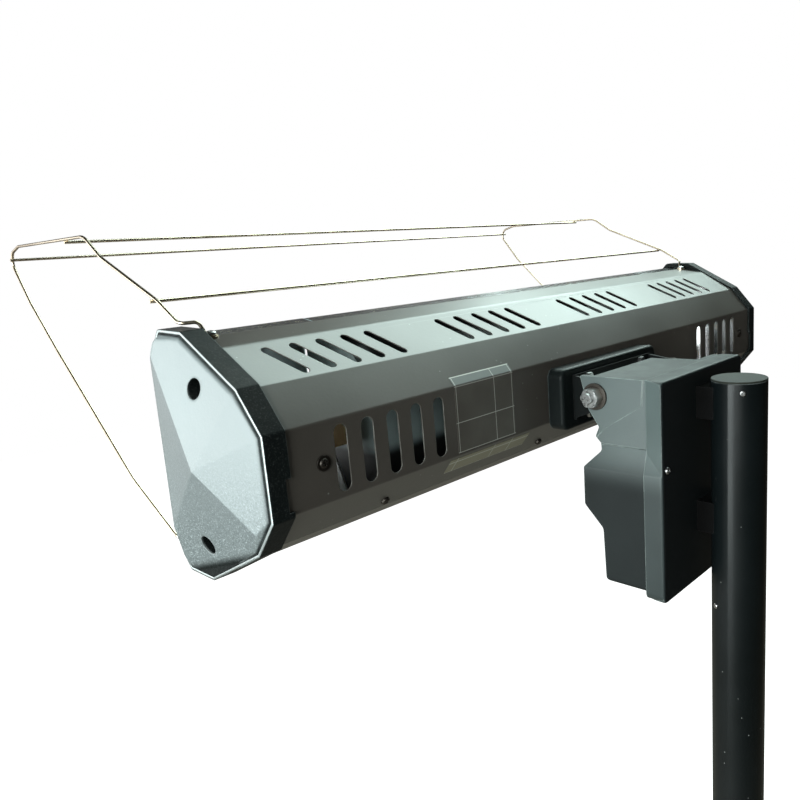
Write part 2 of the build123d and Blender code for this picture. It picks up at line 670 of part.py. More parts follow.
def guard_loop():
    """One side of the wire guard, from the top flange round the front to the bottom edge."""
    (top, top_out), _, (low, low_out), _ = guard_screw_places()
    rise = (WIRE_D / 2) + 0.4
    x, y, z = top
    lx, ly, lz = low
    side = [(-258, 91.7), (-287, 108.5), (-378, 144.5), (-407, 163.5), (-575, 163.5), (-597, 158),
            (-601.5, 145.5), (-570, 107.5), (-520, 62), (-388, -49), (-318, -88)]
    route = [(x + 2, y - 3, z + rise), (x + 6, y - 5, 91.7)] + [(GUARD_X, u, v) for u, v in side] \
        + [(lx + 3, -296, -104), (lx + 1, ly - 3, lz - rise)]
    loop = wire(route, [4.5, 6, 30, 30, 25, 12, 10, 10, 30, 60, 60, 12, 5], WIRE_D)
    for point, out in ((top, top_out), (low, low_out)):
        loop += extrude(seat(point, out) * Circle(TAB / 2), amount=TAB_T)
        loop += extrude(seat(point, out) * Circle(SEAT_D / 2), amount=SEAT_H)
        loop -= extrude(seat(point, out) * Circle(HOUSING_HOLE_D / 2), amount=30, both=True)
        loop -= extrude(seat(point, out).offset(SEAT_H) * Circle(SEAT_D / 2), amount=6)
    return one(loop)


def guard_rod(place):
    return one(rod((-ROD_HALF, place[0], place[1]), (1, 0, 0), WIRE_D, 2 * ROD_HALF))


def guard_screws():
    screws = []
    for (x, y, z), out in guard_screw_places():
        lift = Vector(x, y, z) + out * SEAT_H
        screws.append(pan_screw(tuple(lift), out, HOUSING_SCREW_D, 8))
    return screws


# ---------------------------------------------------------------- control box
def box_shape(side, side_radii, front, front_radii):
    """What a side outline and a front outline have in common."""
    long_way = slab(outline(side, side_radii), -95, 95)
    face = outline(mirrored_outline(front), front_radii + front_radii[::-1])
    across = extrude(front_plane(-20) * face, amount=130)
    return long_way & across


def inset_front(half, amount):
    """The front outline's right half with its walls taken off."""
    full = mirrored_outline(half)
    inner = shifted(full, -amount)
    if inner[0][0] > full[0][0]:
        inner = shifted(full, amount)
    return inner[:len(half)]


def box_body():
    """Moulded arm and box: two cheeks for the tilt pivot over a hollow control space."""
    outside = box_shape(BOX_SIDE, BOX_SIDE_R, BOX_FRONT, [0, 8, 1.5, 5])
    body = outside
    inner_side = shifted(BOX_SIDE, -BOX_WALL)
    inner_side = [(SEAM_Y + 1 if y > SEAM_Y - 6 else y, z) for y, z in inner_side]
    space = box_shape(inner_side, 0, inset_front(BOX_FRONT, BOX_WALL), [0, 0, 0, 0])
    pocket = slab(outline(POCKET), -CHEEK_INNER, CHEEK_INNER)
    webbed = slab(outline(shifted(POCKET, 2.4)), -90, 90)
    body -= space - webbed
    body -= pocket
    body -= block(-CHEEK_INNER, CHEEK_INNER, -125, -108, 0, 12)
    body -= block(-90, TOP_END_X, -125, POCKET[1][0], SHOULDER_Z, 12)
    strip = SEAM_Y - 5.3
    crease = outline([(-97, -42), (strip, -17.5), (strip + 2, 8), (SEAM_Y + 2, 8), (SEAM_Y + 2, -57),
                      (-112, -57)])
    for x0 in (-CHEEK_OUTER - 1, CHEEK_OUTER - CREASE_STEP):
        body -= slab(crease, x0, x0 + 1 + CREASE_STEP)
    x, z = COVER_SCREW
    for side in (1, -1):
        body += rod((side * x, -80, z), (0, 1, 0), 10, SEAM_Y + 80) & outside
        body -= rod((side * x, -77, z), (0, 1, 0), 3.6, 40)
    y, z = PIVOT
    body -= rod((-90, y, z), (1, 0, 0), BOLT_D + 0.2, 180)
    body -= block(-13.2, 13.2, -110, -85, SWITCH_Z - 9.7, SWITCH_Z + 9.7)
    body -= extrude(gland_seat() * Circle(GLAND_D / 2 + 0.1), amount=8, both=True)
    body -= rod((-30, -70, -60), (0, 0, 1), LEAD_WAY_D, 45)
    return one(body)


def box_cover():
    """Moulded rear cover, flared toward the back, with a tongue that hooks into the body."""
    depth = COVER_BACK_Y - SEAM_Y
    face = outline(mirrored_outline(COVER_FRONT), [3, 8, 4, 8, 8, 4, 8, 3])
    plan = [(COVER_FRONT[0][0], SEAM_Y), (COVER_HALF, COVER_BACK_Y), (-COVER_HALF, COVER_BACK_Y),
            (-COVER_FRONT[0][0], SEAM_Y)]
    flare = Plane.XY.offset(POLE_TOP + COVER_LOW_Z) * make_face(Polyline(*plan, close=True))
    flare = extrude(flare, amount=COVER_TOP_Z - COVER_LOW_Z)
    middle = Pos(0, (COVER_TOP_Z + COVER_LOW_Z) / 2)
    bounds = middle * RectangleRounded(2 * COVER_HALF, COVER_TOP_Z - COVER_LOW_Z, 6)
    back = front_plane(COVER_BACK_Y)
    bounds = extrude(back * bounds, amount=depth)
    bounds = fillet(bounds.faces().sort_by(Axis.Y)[-1].edges(), 3)
    cover = (extrude(back * face, amount=depth) + flare) & bounds
    inner = outline(mirrored_outline(inset_front(COVER_FRONT, BOX_WALL)), [3, 8, 4, 6, 6, 4, 8, 3])
    cover -= extrude(front_plane(COVER_BACK_Y - 2.5) * inner, amount=40)
    x, z = COVER_SCREW
    for side in (1, -1):
        cover += rod((side * x, SEAM_Y, z), (0, 1, 0), 9, depth - 1)
        cover -= rod((side * x, SEAM_Y - 1, z), (0, 1, 0), 4.2, 40)
    tongue = BOX_SIDE[2][1] + BOX_WALL + 0.2
    cover += block(-30, 30, SEAM_Y + 0.5, SEAM_Y + 3, COVER_LOW_Z + 1, tongue + 2)
    cover += block(-30, 30, SEAM_Y - 6, SEAM_Y + 3, tongue, tongue + 2)
    for z in POLE_BOLT_ZS:
        cover -= rod((0, -60, z), (0, 1, 0), POLE_BOLT_D + 0.2, 40)
    return one(cover)


def cover_screws():
    x, z = COVER_SCREW
    return [pan_screw((side * x, COVER_BACK_Y, z), (0, 1, 0), 3.5, 42) for side in (1, -1)]


def pivot_bolt():
    y, z = PIVOT
    return one(hex_bolt((-CHEEK_OUTER - 2.0, y, z), (-1, 0, 0), BOLT_D, 2 * CHEEK_OUTER + 17))


def washer(x0, x1, outer):
    y, z = PIVOT
    disc = rod((x0, y, z), (1, 0, 0), outer, x1 - x0)
    return disc - rod((x0 - 1, y, z), (1, 0, 0), BOLT_D + 0.1, x1 - x0 + 2)


def pivot_washers():
    """Steel washers outside the cheeks."""
    return [washer(CHEEK_OUTER, CHEEK_OUTER + 2, PIVOT_WASHER_D),
            washer(-CHEEK_OUTER - 2, -CHEEK_OUTER, PIVOT_WASHER_D)]


def friction_washers():
    """Fibre washers between the cheeks and the bracket's ears."""
    gap = SLIDE_GAP
    return [washer(EAR_OUTER + gap, CHEEK_INNER, FRICTION_D),
            washer(-CHEEK_INNER, -EAR_OUTER - gap, FRICTION_D)]


def pivot_nut():
    y, z = PIVOT
    x0 = CHEEK_OUTER + 2
    plane = seat((x0, y, z), (1, 0, 0))
    nut = extrude(plane * RegularPolygon(0.98 * BOLT_D, 6), amount=9)
    nut &= extrude(plane * Circle(0.93 * BOLT_D), amount=9)
    return one(nut - rod((x0 - 1, y, z), (1, 0, 0), BOLT_D + 0.04, 12))


def mounting_plate():
    """Steel plate inside the cover that spreads the pole bolts' pull."""
    front = COVER_BACK_Y - 2.5 - MOUNT_PLATE_T
    plate = block(-45, 45, front, front + MOUNT_PLATE_T, -178, -10)
    for z in POLE_BOLT_ZS:
        plate -= rod((0, -60, z), (0, 1, 0), POLE_BOLT_D + 0.2, 40)
    for x, z in standoff_places():
        plate -= rod((x, -60, z), (0, 1, 0), 3.1, 40)
    return one(plate)


def standoff_places():
    return [(x, z) for x in (-38, 38) for z in (-98, -168)]


def board_standoffs():
    front = COVER_BACK_Y - 2.5 - MOUNT_PLATE_T
    posts = []
    for x, z in standoff_places():
        post = extrude(seat((x, front, z), (0, -1, 0)) * RegularPolygon(3.4, 6), amount=front - BOARD_Y)
        post += rod((x, front, z), (0, 1, 0), 3.0, MOUNT_PLATE_T)
        post += rod((x, BOARD_Y, z), (0, -1, 0), 3.0, 3.2)
        posts.append(post)
    return posts


def control_board():
    board = block(-44, 44, BOARD_Y - 1.6, BOARD_Y, -176, -90)
    for x, z in standoff_places():
        board -= rod((x, -66, z), (0, 1, 0), 3.1, 10)
    return one(board)


def power_relay():
    cube = block(-8, 22, BOARD_Y - 17.6, BOARD_Y - 1.6, -125, -105)
    return one(fillet(cube.edges().filter_by(Axis.Y), 1))


def box_terminal_block():
    cube = block(-36, -14, BOARD_Y - 13.6, BOARD_Y - 1.6, -140, -100)
    for i in range(3):
        z = -132 + 12 * i
        cube -= block(-40, -26, BOARD_Y - 10, BOARD_Y - 5, z - 3, z + 3)
    return one(cube)


def tip_over_switch():
    """Sealed ball switch that cuts the power when the stand leans over."""
    shell = block(14, 36, BOARD_Y - 15.6, BOARD_Y - 1.6, -165, -138)
    shell = fillet(shell.edges().filter_by(Axis.Y), 2)
    hollow = rod((25, BOARD_Y - 8.6, -162), (0, 0, 1), 10, 20)
    return one(shell - hollow)


# ---------------------------------------------------------------- rocker switch
def switch_face_y():
    """Where the box's lower front wall stands at the switch's height."""
    (y0, z0), (y1, z1) = BOX_SIDE[3], BOX_SIDE[4]
    return y0 + (y1 - y0) * (SWITCH_Z - z0) / (z1 - z0)


ROCKER_W = 21.0
ROCKER_H = 14.6
ROCKER_TILT = 8.0


def switch_housing():
    """Snap-in frame and body of the rocker switch."""
    y = switch_face_y()
    frame = block(-15.5, 15.5, y - 2.4, y - 0.5, SWITCH_Z - 12, SWITCH_Z + 12)
    frame = fillet(frame.edges().filter_by(Axis.Y), 2)
    body = block(-13, 13, y - 1, y + 20, SWITCH_Z - 9.5, SWITCH_Z + 9.5)
    whole = frame + body
    whole -= block(-ROCKER_W / 2 - 0.3, ROCKER_W / 2 + 0.3, y - 5, y + 9,
                   SWITCH_Z - ROCKER_H / 2 - 0.5, SWITCH_Z + ROCKER_H / 2 + 0.5)
    whole += rod((-ROCKER_W / 2 - 1, y + 2, SWITCH_Z), (1, 0, 0), 2.4, ROCKER_W + 2)
    return one(whole)


def switch_rocker():
    """Rocker key on its pin, its face a shallow V."""
    y = switch_face_y()
    half = ROCKER_H / 2
    face = outline([(y - 4.6, SWITCH_Z - half + 0.6), (y - 2.9, SWITCH_Z),
                    (y - 4.6, SWITCH_Z + half - 0.6), (y + 1.5, SWITCH_Z + half - 0.2),
                    (y + 5.5, SWITCH_Z + 2.5), (y + 5.5, SWITCH_Z - 2.5),
                    (y + 1.5, SWITCH_Z - half + 0.2)])
    key = slab(face, -ROCKER_W / 2, ROCKER_W / 2)
    key -= rod((-ROCKER_W, y + 2, SWITCH_Z), (1, 0, 0), 2.5, 2 * ROCKER_W)
    pin = Axis(origin=(0, y + 2, SWITCH_Z + POLE_TOP), direction=(1, 0, 0))
    return one(key.rotate(pin, -ROCKER_TILT))


def gland_seat():
    """A plane on the box's lower slope, facing out, where the cord enters."""
    (y0, z0), (y1, z1) = BOX_SIDE[4], BOX_SIDE[5]
    return seat((GLAND_X, (y0 + y1) / 2, (z0 + z1) / 2), (0, z0 - z1, y1 - y0))


def cable_gland():
    """Cord inlet on the box's lower slope: collar, dome nut and lock nut in one piece."""
    face = gland_seat()
    gland = extrude(face * Circle(GLAND_COLLAR_D / 2), amount=4)
    gland += extrude(face * Circle(GLAND_D / 2), amount=-10)
    gland += extrude(face.offset(4) * RegularPolygon(GLAND_COLLAR_D / 2, 6), amount=8)
    gland += extrude(face.offset(12) * Circle(7.5), amount=5)
    gland += extrude(face.offset(-BOX_WALL - 4.1) * RegularPolygon(GLAND_COLLAR_D / 2, 6), amount=4)
    return one(gland - extrude(face.offset(-20) * Circle(GLAND_BORE_D / 2), amount=40))


# ---------------------------------------------------------------- pole
def tube_z(outer, wall, z0, z1):
    ring = Circle(outer / 2) - Circle(outer / 2 - wall)
    return Pos(0, 0, z0) * extrude(ring, amount=z1 - z0)


POLE_SCREW_D = 4.9
POLE_SCREW_ZS = [POLE_JOINT_Z - 55, POLE_JOINT_Z + 55, 80]
RIVET_D = 3.2
RIVETS = [(30.0, -10.0), (-32.0, -221.0)]


def round_pole(angle, z):
    """A point on the pole's surface and the way out there; the angle turns from +X to +Y."""
    out = Vector(math.cos(math.radians(angle)), math.sin(math.radians(angle)), 0)
    point = out * (POLE_D / 2)
    return (point.X, point.Y, z), out


def pole_upper():
    pole = tube_z(POLE_D, POLE_WALL, POLE_JOINT_Z, POLE_TOP - POLE_CAP_T)
    for z in POLE_BOLT_ZS:
        pole -= rod((0, -40, z), (0, 1, 0), 11.04, 30)
    pole -= rod((0, 10, POLE_SCREW_ZS[1] - POLE_TOP), (0, 1, 0), 5, 30)
    for angle, z in RIVETS:
        point, out = round_pole(angle, z)
        pole -= extrude(seat(point, out) * Circle(RIVET_D / 2), amount=4, both=True)
    return one(pole)


def pole_lower():
    foot = PAD_T + PLATE_T + FLANGE_T
    pole = tube_z(POLE_D, POLE_WALL, foot, POLE_JOINT_Z)
    for z in (POLE_SCREW_ZS[0], POLE_SCREW_ZS[2]):
        pole -= rod((0, 10, z - POLE_TOP), (0, 1, 0), 5, 30)
    return one(pole)


def pole_sleeve():
    """Inner sleeve that joins the pole's two lengths."""
    outer = POLE_D - 2 * POLE_WALL - 2 * SLIDE_GAP
    half = SLEEVE_LENGTH / 2
    sleeve = tube_z(outer, SLEEVE_WALL, POLE_JOINT_Z - half, POLE_JOINT_Z + half)
    for z in POLE_SCREW_ZS[:2]:
        sleeve -= rod((0, 10, z - POLE_TOP), (0, 1, 0), 5, 30)
    return one(sleeve)


def pole_screws():
    return [pan_screw((0, POLE_D / 2, z - POLE_TOP), (0, 1, 0), POLE_SCREW_D, 8)
            for z in POLE_SCREW_ZS]


def pole_cap():
    """Flat plug in the pole's top."""
    disc = Pos(0, 0, POLE_TOP - POLE_CAP_T) * extrude(Circle(POLE_D / 2), amount=POLE_CAP_T)
    disc = fillet(disc.faces().sort_by(Axis.Z)[-1].edges(), 0.8)
    plug = tube_z(POLE_D - 2 * POLE_WALL - 2 * SLIDE_GAP, 2, POLE_TOP - 15, POLE_TOP - POLE_CAP_T)
    point, out = round_pole(*RIVETS[0])
    return one(disc + plug - extrude(seat(point, out) * Circle(RIVET_D / 2), amount=8, both=True))


def pole_rivets():
    """Small domed rivets: one holds the cap, one fills a hole lower down."""
    rivets = []
    for angle, z in RIVETS:
        head = fillet(extrude(Circle(2.6), amount=1.3).faces().sort_by(Axis.Z)[-1].edges(), 0.9)
        head += Pos(0, 0, -5) * extrude(Circle(RIVET_D / 2 - 0.05), amount=5)
        head -= extrude(Circle(2.7) - Circle(RIVET_D / 2 - 0.05), amount=0.2)
        point, out = round_pole(angle, z)
        rivets.append(one(seat(point, out).location * head))
    return rivets


def pole_saddles():
    """Blocks hollowed to the pole, between it and the box's cover."""
    saddles = []
    for z in POLE_BOLT_ZS:
        saddle = block(-19, 19, COVER_BACK_Y, -12, z - 15, z + 15)
        saddle -= Pos(0, 0, POLE_TOP + z) * Cylinder(POLE_D / 2 + SLIDE_GAP, 60)
        saddle -= rod((0, -60, z), (0, 1, 0), POLE_BOLT_D + 0.2, 60)
        saddles.append(one(saddle))
    return saddles


def pole_bolts():
    front = COVER_BACK_Y - 2.5 - MOUNT_PLATE_T
    return [hex_bolt((0, front, z), (0, -1, 0), POLE_BOLT_D, 26) for z in POLE_BOLT_ZS]


def pole_inserts():
    """Threaded inserts in the pole's front wall."""
    nuts = []
    for z in POLE_BOLT_ZS:
        nut = rod((0, -24.3, z), (0, 1, 0), 11, 13)
        nuts.append(one(nut - rod((0, -26, z), (0, 1, 0), POLE_BOLT_D + 0.04, 20)))
    return nuts


# ---------------------------------------------------------------- base
def base_pad():
    """Rubber mat under the whole base; its flat underside is the resting face."""
    return one(fillet(extrude(Circle(PAD_D / 2), amount=PAD_T).faces().sort_by(Axis.Z)[0].edges(), 1))


def base_bolt_places():
    radius = BASE_BOLT_CIRCLE / 2
    return [(radius * math.cos(math.radians(a)), radius * math.sin(math.radians(a)))
            for a in (45, 135, 225, 315)]


def base_plate():
    plate = Pos(0, 0, PAD_T) * extrude(Circle(PLATE_D / 2), amount=PLATE_T)
    for x, y in base_bolt_places():
        plate -= Pos(x, y, PAD_T) * extrude(Circle(4.05), amount=PLATE_T)
    return one(plate)


def base_socket():
    """Flange bolted to the plate, with the tube that the pole slides over."""
    z0 = PAD_T + PLATE_T
    socket = Pos(0, 0, z0) * extrude(Circle(FLANGE_D / 2), amount=FLANGE_T)
    socket += tube_z(POLE_D - 2 * POLE_WALL - 2 * SLIDE_GAP, SLEEVE_WALL, z0, z0 + SOCKET_HEIGHT)
    for x, y in base_bolt_places():
        socket -= Pos(x, y, z0) * extrude(Circle(4.1), amount=FLANGE_T)
    return one(socket - rod((0, 10, POLE_SCREW_ZS[2] - POLE_TOP), (0, 1, 0), 5, 30))


def base_bolts():
    top = PAD_T + PLATE_T + FLANGE_T - POLE_TOP
    return [hex_bolt((x, y, top), (0, 0, 1), 8, FLANGE_T + PLATE_T) for x, y in base_bolt_places()]


def base_cover():
    """Pressed steel dish over the weight plate."""
    rim = COVER_D / 2
    shoulder = PAD_T + PLATE_T + COVER_SHEET
    path = [(rim, PAD_T + 0.6), (rim, shoulder), (COVER_FLAT_D / 2, COVER_TOP),
            (POLE_D / 2 + 1.0, COVER_TOP)]
    return one(revolve(Plane.XZ * ribbon(path, 4, COVER_SHEET), axis=Axis.Z))


def pole_collar():
    """Trim ring where the pole enters the base cover."""
    ring = Circle(COLLAR_D / 2) - Circle(POLE_D / 2 + 0.3)
    collar = Pos(0, 0, COVER_TOP) * extrude(ring, amount=COLLAR_T)
    return one(fillet(collar.faces().sort_by(Axis.Z)[-1].edges().sort_by(SortBy.LENGTH)[-1], 3))


# ---------------------------------------------------------------- write the nodes
def nodes():
    cap_left, cap_right = both_sides(end_cap())
    loop_left, loop_right = both_sides(guard_loop())
    return {
        "housing_shell": housing_shell(),
        "back_stiffener": back_stiffener(),
        "end_cap_left": cap_left,
        "end_cap_right": cap_right,
        "cap_screws": cap_screws(),
        "end_plates": both_sides(end_plate()),
        "reflector": reflector(),
        "reflector_ends": both_sides(reflector_end()),
        "front_covers": both_sides(front_cover()),
        "lamp_tube": lamp_tube(),
        "lamp_filament": lamp_filament(),
        "lamp_holders": lamp_holders(),
        "lamp_brackets": lamp_brackets(),
        "overheat_cutout": overheat_cutout(),
        "terminal_block": terminal_block(),
        "lead_grommet": lead_grommet(),
        "housing_screws": housing_screws(),
        "blank_labels": [rating_label(), lower_label()],
        "mount_pad": mount_pad(),
        "tilt_bracket": tilt_bracket(),
        "bracket_screws": bracket_screws(),
        "pivot_tube": pivot_tube(),
        "guard_loop_left": loop_left,
        "guard_loop_right": loop_right,
        "guard_rod_rear": guard_rod(ROD_REAR),
        "guard_rod_middle": guard_rod(ROD_MIDDLE),
        "guard_rod_front": guard_rod(ROD_FRONT),
        "guard_screws": guard_screws(),
        "box_body": box_body(),
        "box_cover": box_cover(),
        "cover_screws": cover_screws(),
        "pivot_bolt": pivot_bolt(),
        "pivot_nut": pivot_nut(),
        "pivot_washers": pivot_washers(),
        "friction_washers": friction_washers(),
        "mounting_plate": mounting_plate(),
        "board_standoffs": board_standoffs(),
        "control_board": control_board(),
        "power_relay": power_relay(),
        "box_terminal_block": box_terminal_block(),
        "tip_over_switch": tip_over_switch(),
        "switch_housing": switch_housing(),
        "switch_rocker": switch_rocker(),
        "cable_gland": cable_gland(),
        "pole_upper": pole_upper(),
        "pole_lower": pole_lower(),
        "pole_sleeve": pole_sleeve(),
        "pole_screws": pole_screws(),
        "pole_cap": pole_cap(),
        "pole_rivets": pole_rivets(),
        "pole_saddles": pole_saddles(),
        "pole_bolts": pole_bolts(),
        "pole_inserts": pole_inserts(),
        "base_pad": base_pad(),
        "base_plate": base_plate(),
        "base_socket": base_socket(),
        "base_bolts": base_bolts(),
        "base_cover": base_cover(),
        "pole_collar": pole_collar(),
    }


os.makedirs("parts", exist_ok=True)
for name, shape in nodes().items():
    whole = Compound(children=list(shape)) if isinstance(shape, list) else shape
    export_step(whole, f"parts/{name}.step")
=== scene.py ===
"""Finishes, fine pieces and the stage for an infrared patio heater on a pole."""

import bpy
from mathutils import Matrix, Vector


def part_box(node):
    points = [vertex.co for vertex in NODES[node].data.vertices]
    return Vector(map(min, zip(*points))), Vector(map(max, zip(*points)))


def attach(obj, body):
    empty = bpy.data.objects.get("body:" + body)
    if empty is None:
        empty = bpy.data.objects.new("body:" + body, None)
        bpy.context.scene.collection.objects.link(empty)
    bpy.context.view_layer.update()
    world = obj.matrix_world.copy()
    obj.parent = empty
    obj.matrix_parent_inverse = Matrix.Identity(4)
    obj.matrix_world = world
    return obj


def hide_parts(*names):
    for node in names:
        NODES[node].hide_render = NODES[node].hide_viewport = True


bl_info = {
    "name": "Patio Heater Finish",
    "version": (1, 0, 0),
    "blender": (4, 5, 0),
    "location": "3D View > Sidebar > Heater",
    "description": "Paints, plastics, metals and fine pieces of a pole-mounted infrared heater",
    "category": "Object",
}

import bpy
import numpy as np
from bpy.props import FloatProperty, FloatVectorProperty, PointerProperty
from mathutils import Matrix, Vector

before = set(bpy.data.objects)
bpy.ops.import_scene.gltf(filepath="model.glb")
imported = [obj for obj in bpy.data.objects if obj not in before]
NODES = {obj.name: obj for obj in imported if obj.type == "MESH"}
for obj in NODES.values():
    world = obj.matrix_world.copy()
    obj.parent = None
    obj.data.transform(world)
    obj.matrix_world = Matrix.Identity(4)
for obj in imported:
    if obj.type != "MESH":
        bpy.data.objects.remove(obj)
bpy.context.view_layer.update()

# Places on the heater, in metres.
POLE_TOP = 1.830
CAP_FACE_X = 0.400
# Corners of the end cap's rim: (Y, height over the pole's top), and their radii.
RIM_CORNERS = [(-.2400, .0874), (-.1733, .0510), (-.1482, .0210), (-.1482, -.0400),
               (-.1720, -.0690), (-.2440, -.1050), (-.2800, -.1050), (-.2860, -.0980),
               (-.2860, .0760), (-.2750, .0885)]
RIM_RADII = [.003, .003, .003, .003, .003, .003, .005, .005, .008, .006]
RIM_START = 0.0003
RIM_HEIGHT = 0.00025
RIM_SUNK = 0.00002
LAMP_AXIS = (-.222, POLE_TOP - .008)
LAMP_END_GAP = 0.002
TROUGH_CENTRE = (0, -.266, POLE_TOP - .008)
TROUGH_REACH = 0.0885
PIVOT_AXIS = (-.106, POLE_TOP - .012)
BOLT_RADIUS = 0.0050
# The thread's depth, its lift off the bolt, its start after the nut, and how much shorter than
# the bolt's bare end it is.
THREAD_DEPTH = 0.00035
THREAD_LIFT = 0.00001
THREAD_START = 0.0001
THREAD_SHORT = 0.0004
COVER_BACK_Y = -.033
SEAM_Y = -.0525

# The labels: their ends in X, the folds of the panel under them in Z, and the ruled lines.
LABEL_LEFT, LABEL_RIGHT = .141, .217
UPPER_FOLD_Z, LOWER_FOLD_Z = POLE_TOP + .0195, POLE_TOP - .0405
LABEL_RULES = [("X", LABEL_LEFT + .0018), ("X", LABEL_RIGHT - .0018), ("X", LABEL_LEFT + .026)]
LABEL_RULES += [("Z", POLE_TOP + rise) for rise in (.0195, -.0115, -.0370, .0268, -.0460, -.0555)]
RULE_WIDTH = 0.0003

# Colours that more than one finish uses.
# The near black of painted shade on the box.
PAINTED_SHADE_TONE = (.006, .007, .0075)
DUST_TONE = (0.30, 0.29, 0.26)
# Pale tone of the box's rubbed corners and of its painted corner highlight.
BOX_RUBBED_AND_HIGHLIGHT = (0.36, 0.42, 0.40)
ALUMINIUM = (0.86, 0.87, 0.88), (0.80, 0.82, 0.84)
WHITE = (1, 1, 1)

# The photo's camera: its place, the ways it has on its right, below and ahead, and its shift.
CAMERA_PLACE = (0.64766, 0.27445, 1.96204)
CAMERA_WAYS = ((-0.66525, 0.74357, -0.06747), (0.19488, 0.08569, -0.97708),
               (-0.72074, -0.66315, -0.20192))
CAMERA_SHIFT = -0.1008
# The way from the heater to the white screen that reflections show.
SCREEN_WAY = (0.15, -0.985, 0.05)
# Each light: its name, the setting with its power, its place, its aim, its two sides and colour.
LIGHTS = [
    ("side_light", "key_strength", (2.05, 0.38, 2.25), (0.25, -0.14, 1.78), (1.2, 1.0),
     (0.93, 1.0, 0.99)),
    ("front_light", "front_strength", (1.90, -1.80, 1.75), (0.10, -0.12, 1.78), (1.5, 1.5),
     (0.95, 1.0, 0.99)),
    ("strip_light", "strip_strength", (2.25, -0.42, 1.55), (0.0, 0.0, 1.60), (0.35, 1.7),
     (0.90, 1.0, 1.0)),
    ("top_light", "top_strength", (-1.38, -0.65, 3.48), (-0.05, -0.20, 1.87), (1.75, 2.1),
     (0.80, 1.0, 0.95)),
]


# ------------------------------------------------------------------ shader building
def place(tree, kind, inputs=None, **settings):
    """Adds a node; inputs maps a socket's name or index to a value or to another node's socket."""
    made = tree.nodes.new(kind)
    for key, value in settings.items():
        setattr(made, key, value)
    for key, value in (inputs or {}).items():
        if isinstance(value, bpy.types.NodeSocket):
            tree.links.new(value, made.inputs[key])
        else:
            made.inputs[key].default_value = value
    return made


def calc(tree, operation, first, second=0.0, third=0.0, clamp=False):
    """One step of arithmetic, as the socket that carries its result."""
    return place(tree, "ShaderNodeMath", {0: first, 1: second, 2: third}, operation=operation,
                 use_clamp=clamp).outputs[0]


def times(tree, first, second):
    """first * second."""
    return calc(tree, "MULTIPLY", first, second)


def most(tree, first, second):
    """The larger of two values."""
    return calc(tree, "MAXIMUM", first, second)


def raised(tree, start, value, share, clamp=False):
    """start + value * share."""
    return calc(tree, "MULTIPLY_ADD", value, share, start, clamp)


def remap(tree, value, low=0.3, high=0.7, to_low=0.0, to_high=1.0):
    """A value eased from one range to another and held inside the second. The first range is
    where most of a noise lies, unless it is given."""
    return place(tree, "ShaderNodeMapRange", {0: value, 1: low, 2: high, 3: to_low, 4: to_high},
                 interpolation_type="SMOOTHSTEP").outputs[0]


def vector_step(tree, operation, first, second=(0, 0, 0)):
    """One step of vector arithmetic; a dot product or a length comes out as a number."""
    made = place(tree, "ShaderNodeVectorMath", {0: first, 1: second}, operation=operation)
    return made.outputs["Value" if operation in ("DOT_PRODUCT", "LENGTH") else "Vector"]


def split(tree, vector):
    """The parts X, Y and Z of a vector."""
    return place(tree, "ShaderNodeSeparateXYZ", {0: vector}).outputs


def outward(tree, which="True Normal"):
    """The way a face looks."""
    return place(tree, "ShaderNodeNewGeometry").outputs[which]


def stretched(tree, point, scale):
    """Object coordinates scaled unevenly, to draw a pattern out along one axis."""
    return place(tree, "ShaderNodeMapping", {"Vector": point, "Scale": scale}).outputs[0]


def noise(tree, point, scale, detail, rough=0.5):
    """A noise's value."""
    return place(tree, "ShaderNodeTexNoise", {"Vector": point, "Scale": scale, "Detail": detail,
                                              "Roughness": rough}).outputs[0]


def bump(tree, height, distance, strength, normal=None):
    """A normal bent by a height, starting from another normal where one is given."""
    inputs = {"Height": height, "Distance": distance, "Strength": strength}
    if normal is not None:
        inputs["Normal"] = normal
    return place(tree, "ShaderNodeBump", inputs).outputs[0]


def rgba(colour):
    """A colour's three numbers with full alpha; a socket stays as it is."""
    return colour if isinstance(colour, bpy.types.NodeSocket) else (*colour, 1.0)


def shade_of(colour, share):
    """A colour made lighter or darker."""
    return [min(1, part * share) for part in colour]


def blend_colour(tree, share, first, second):
    """Two colours mixed by a share from 0 to 1."""
    return place(tree, "ShaderNodeMix", {0: share, 6: rgba(first), 7: rgba(second)},
                 data_type="RGBA").outputs[2]


def over(tree, base, colour, mask, strength=None):
    """A colour laid over a base where a mask says, at full or at a given strength."""
    if strength is not None:
        mask = times(tree, mask, strength)
    return blend_colour(tree, mask, base, colour)


def group(name, takes, gives, fill):
    """A shader node group, built once. takes maps each input's name to its default, which is None
    for a vector. gives lists the outputs, of which only the normal is a vector."""
    tree = bpy.data.node_groups.get(name)
    if tree:
        return tree
    tree = bpy.data.node_groups.new(name, "ShaderNodeTree")
    for key, default in takes.items():
        kind = "NodeSocketVector" if default is None else "NodeSocketFloat"
        socket = tree.interface.new_socket(key, in_out="INPUT", socket_type=kind)
        if default is not None:
            socket.default_value = default
    for key in gives:
        kind = "NodeSocketVector" if key == "Normal" else "NodeSocketFloat"
        tree.interface.new_socket(key, in_out="OUTPUT", socket_type=kind)
    start = tree.nodes.new("NodeGroupInput")
    end = tree.nodes.new("NodeGroupOutput")
    for key, socket in fill(tree, start.outputs).items():
        tree.links.new(socket, end.inputs[key])
    return tree


def use(tree, made_group, **inputs):
    """Places a group, with _ for each space in its inputs' names, and gives its outputs."""
    inputs = {key.replace("_", " "): value for key, value in inputs.items()}
    return place(tree, "ShaderNodeGroup", inputs, node_tree=made_group).outputs


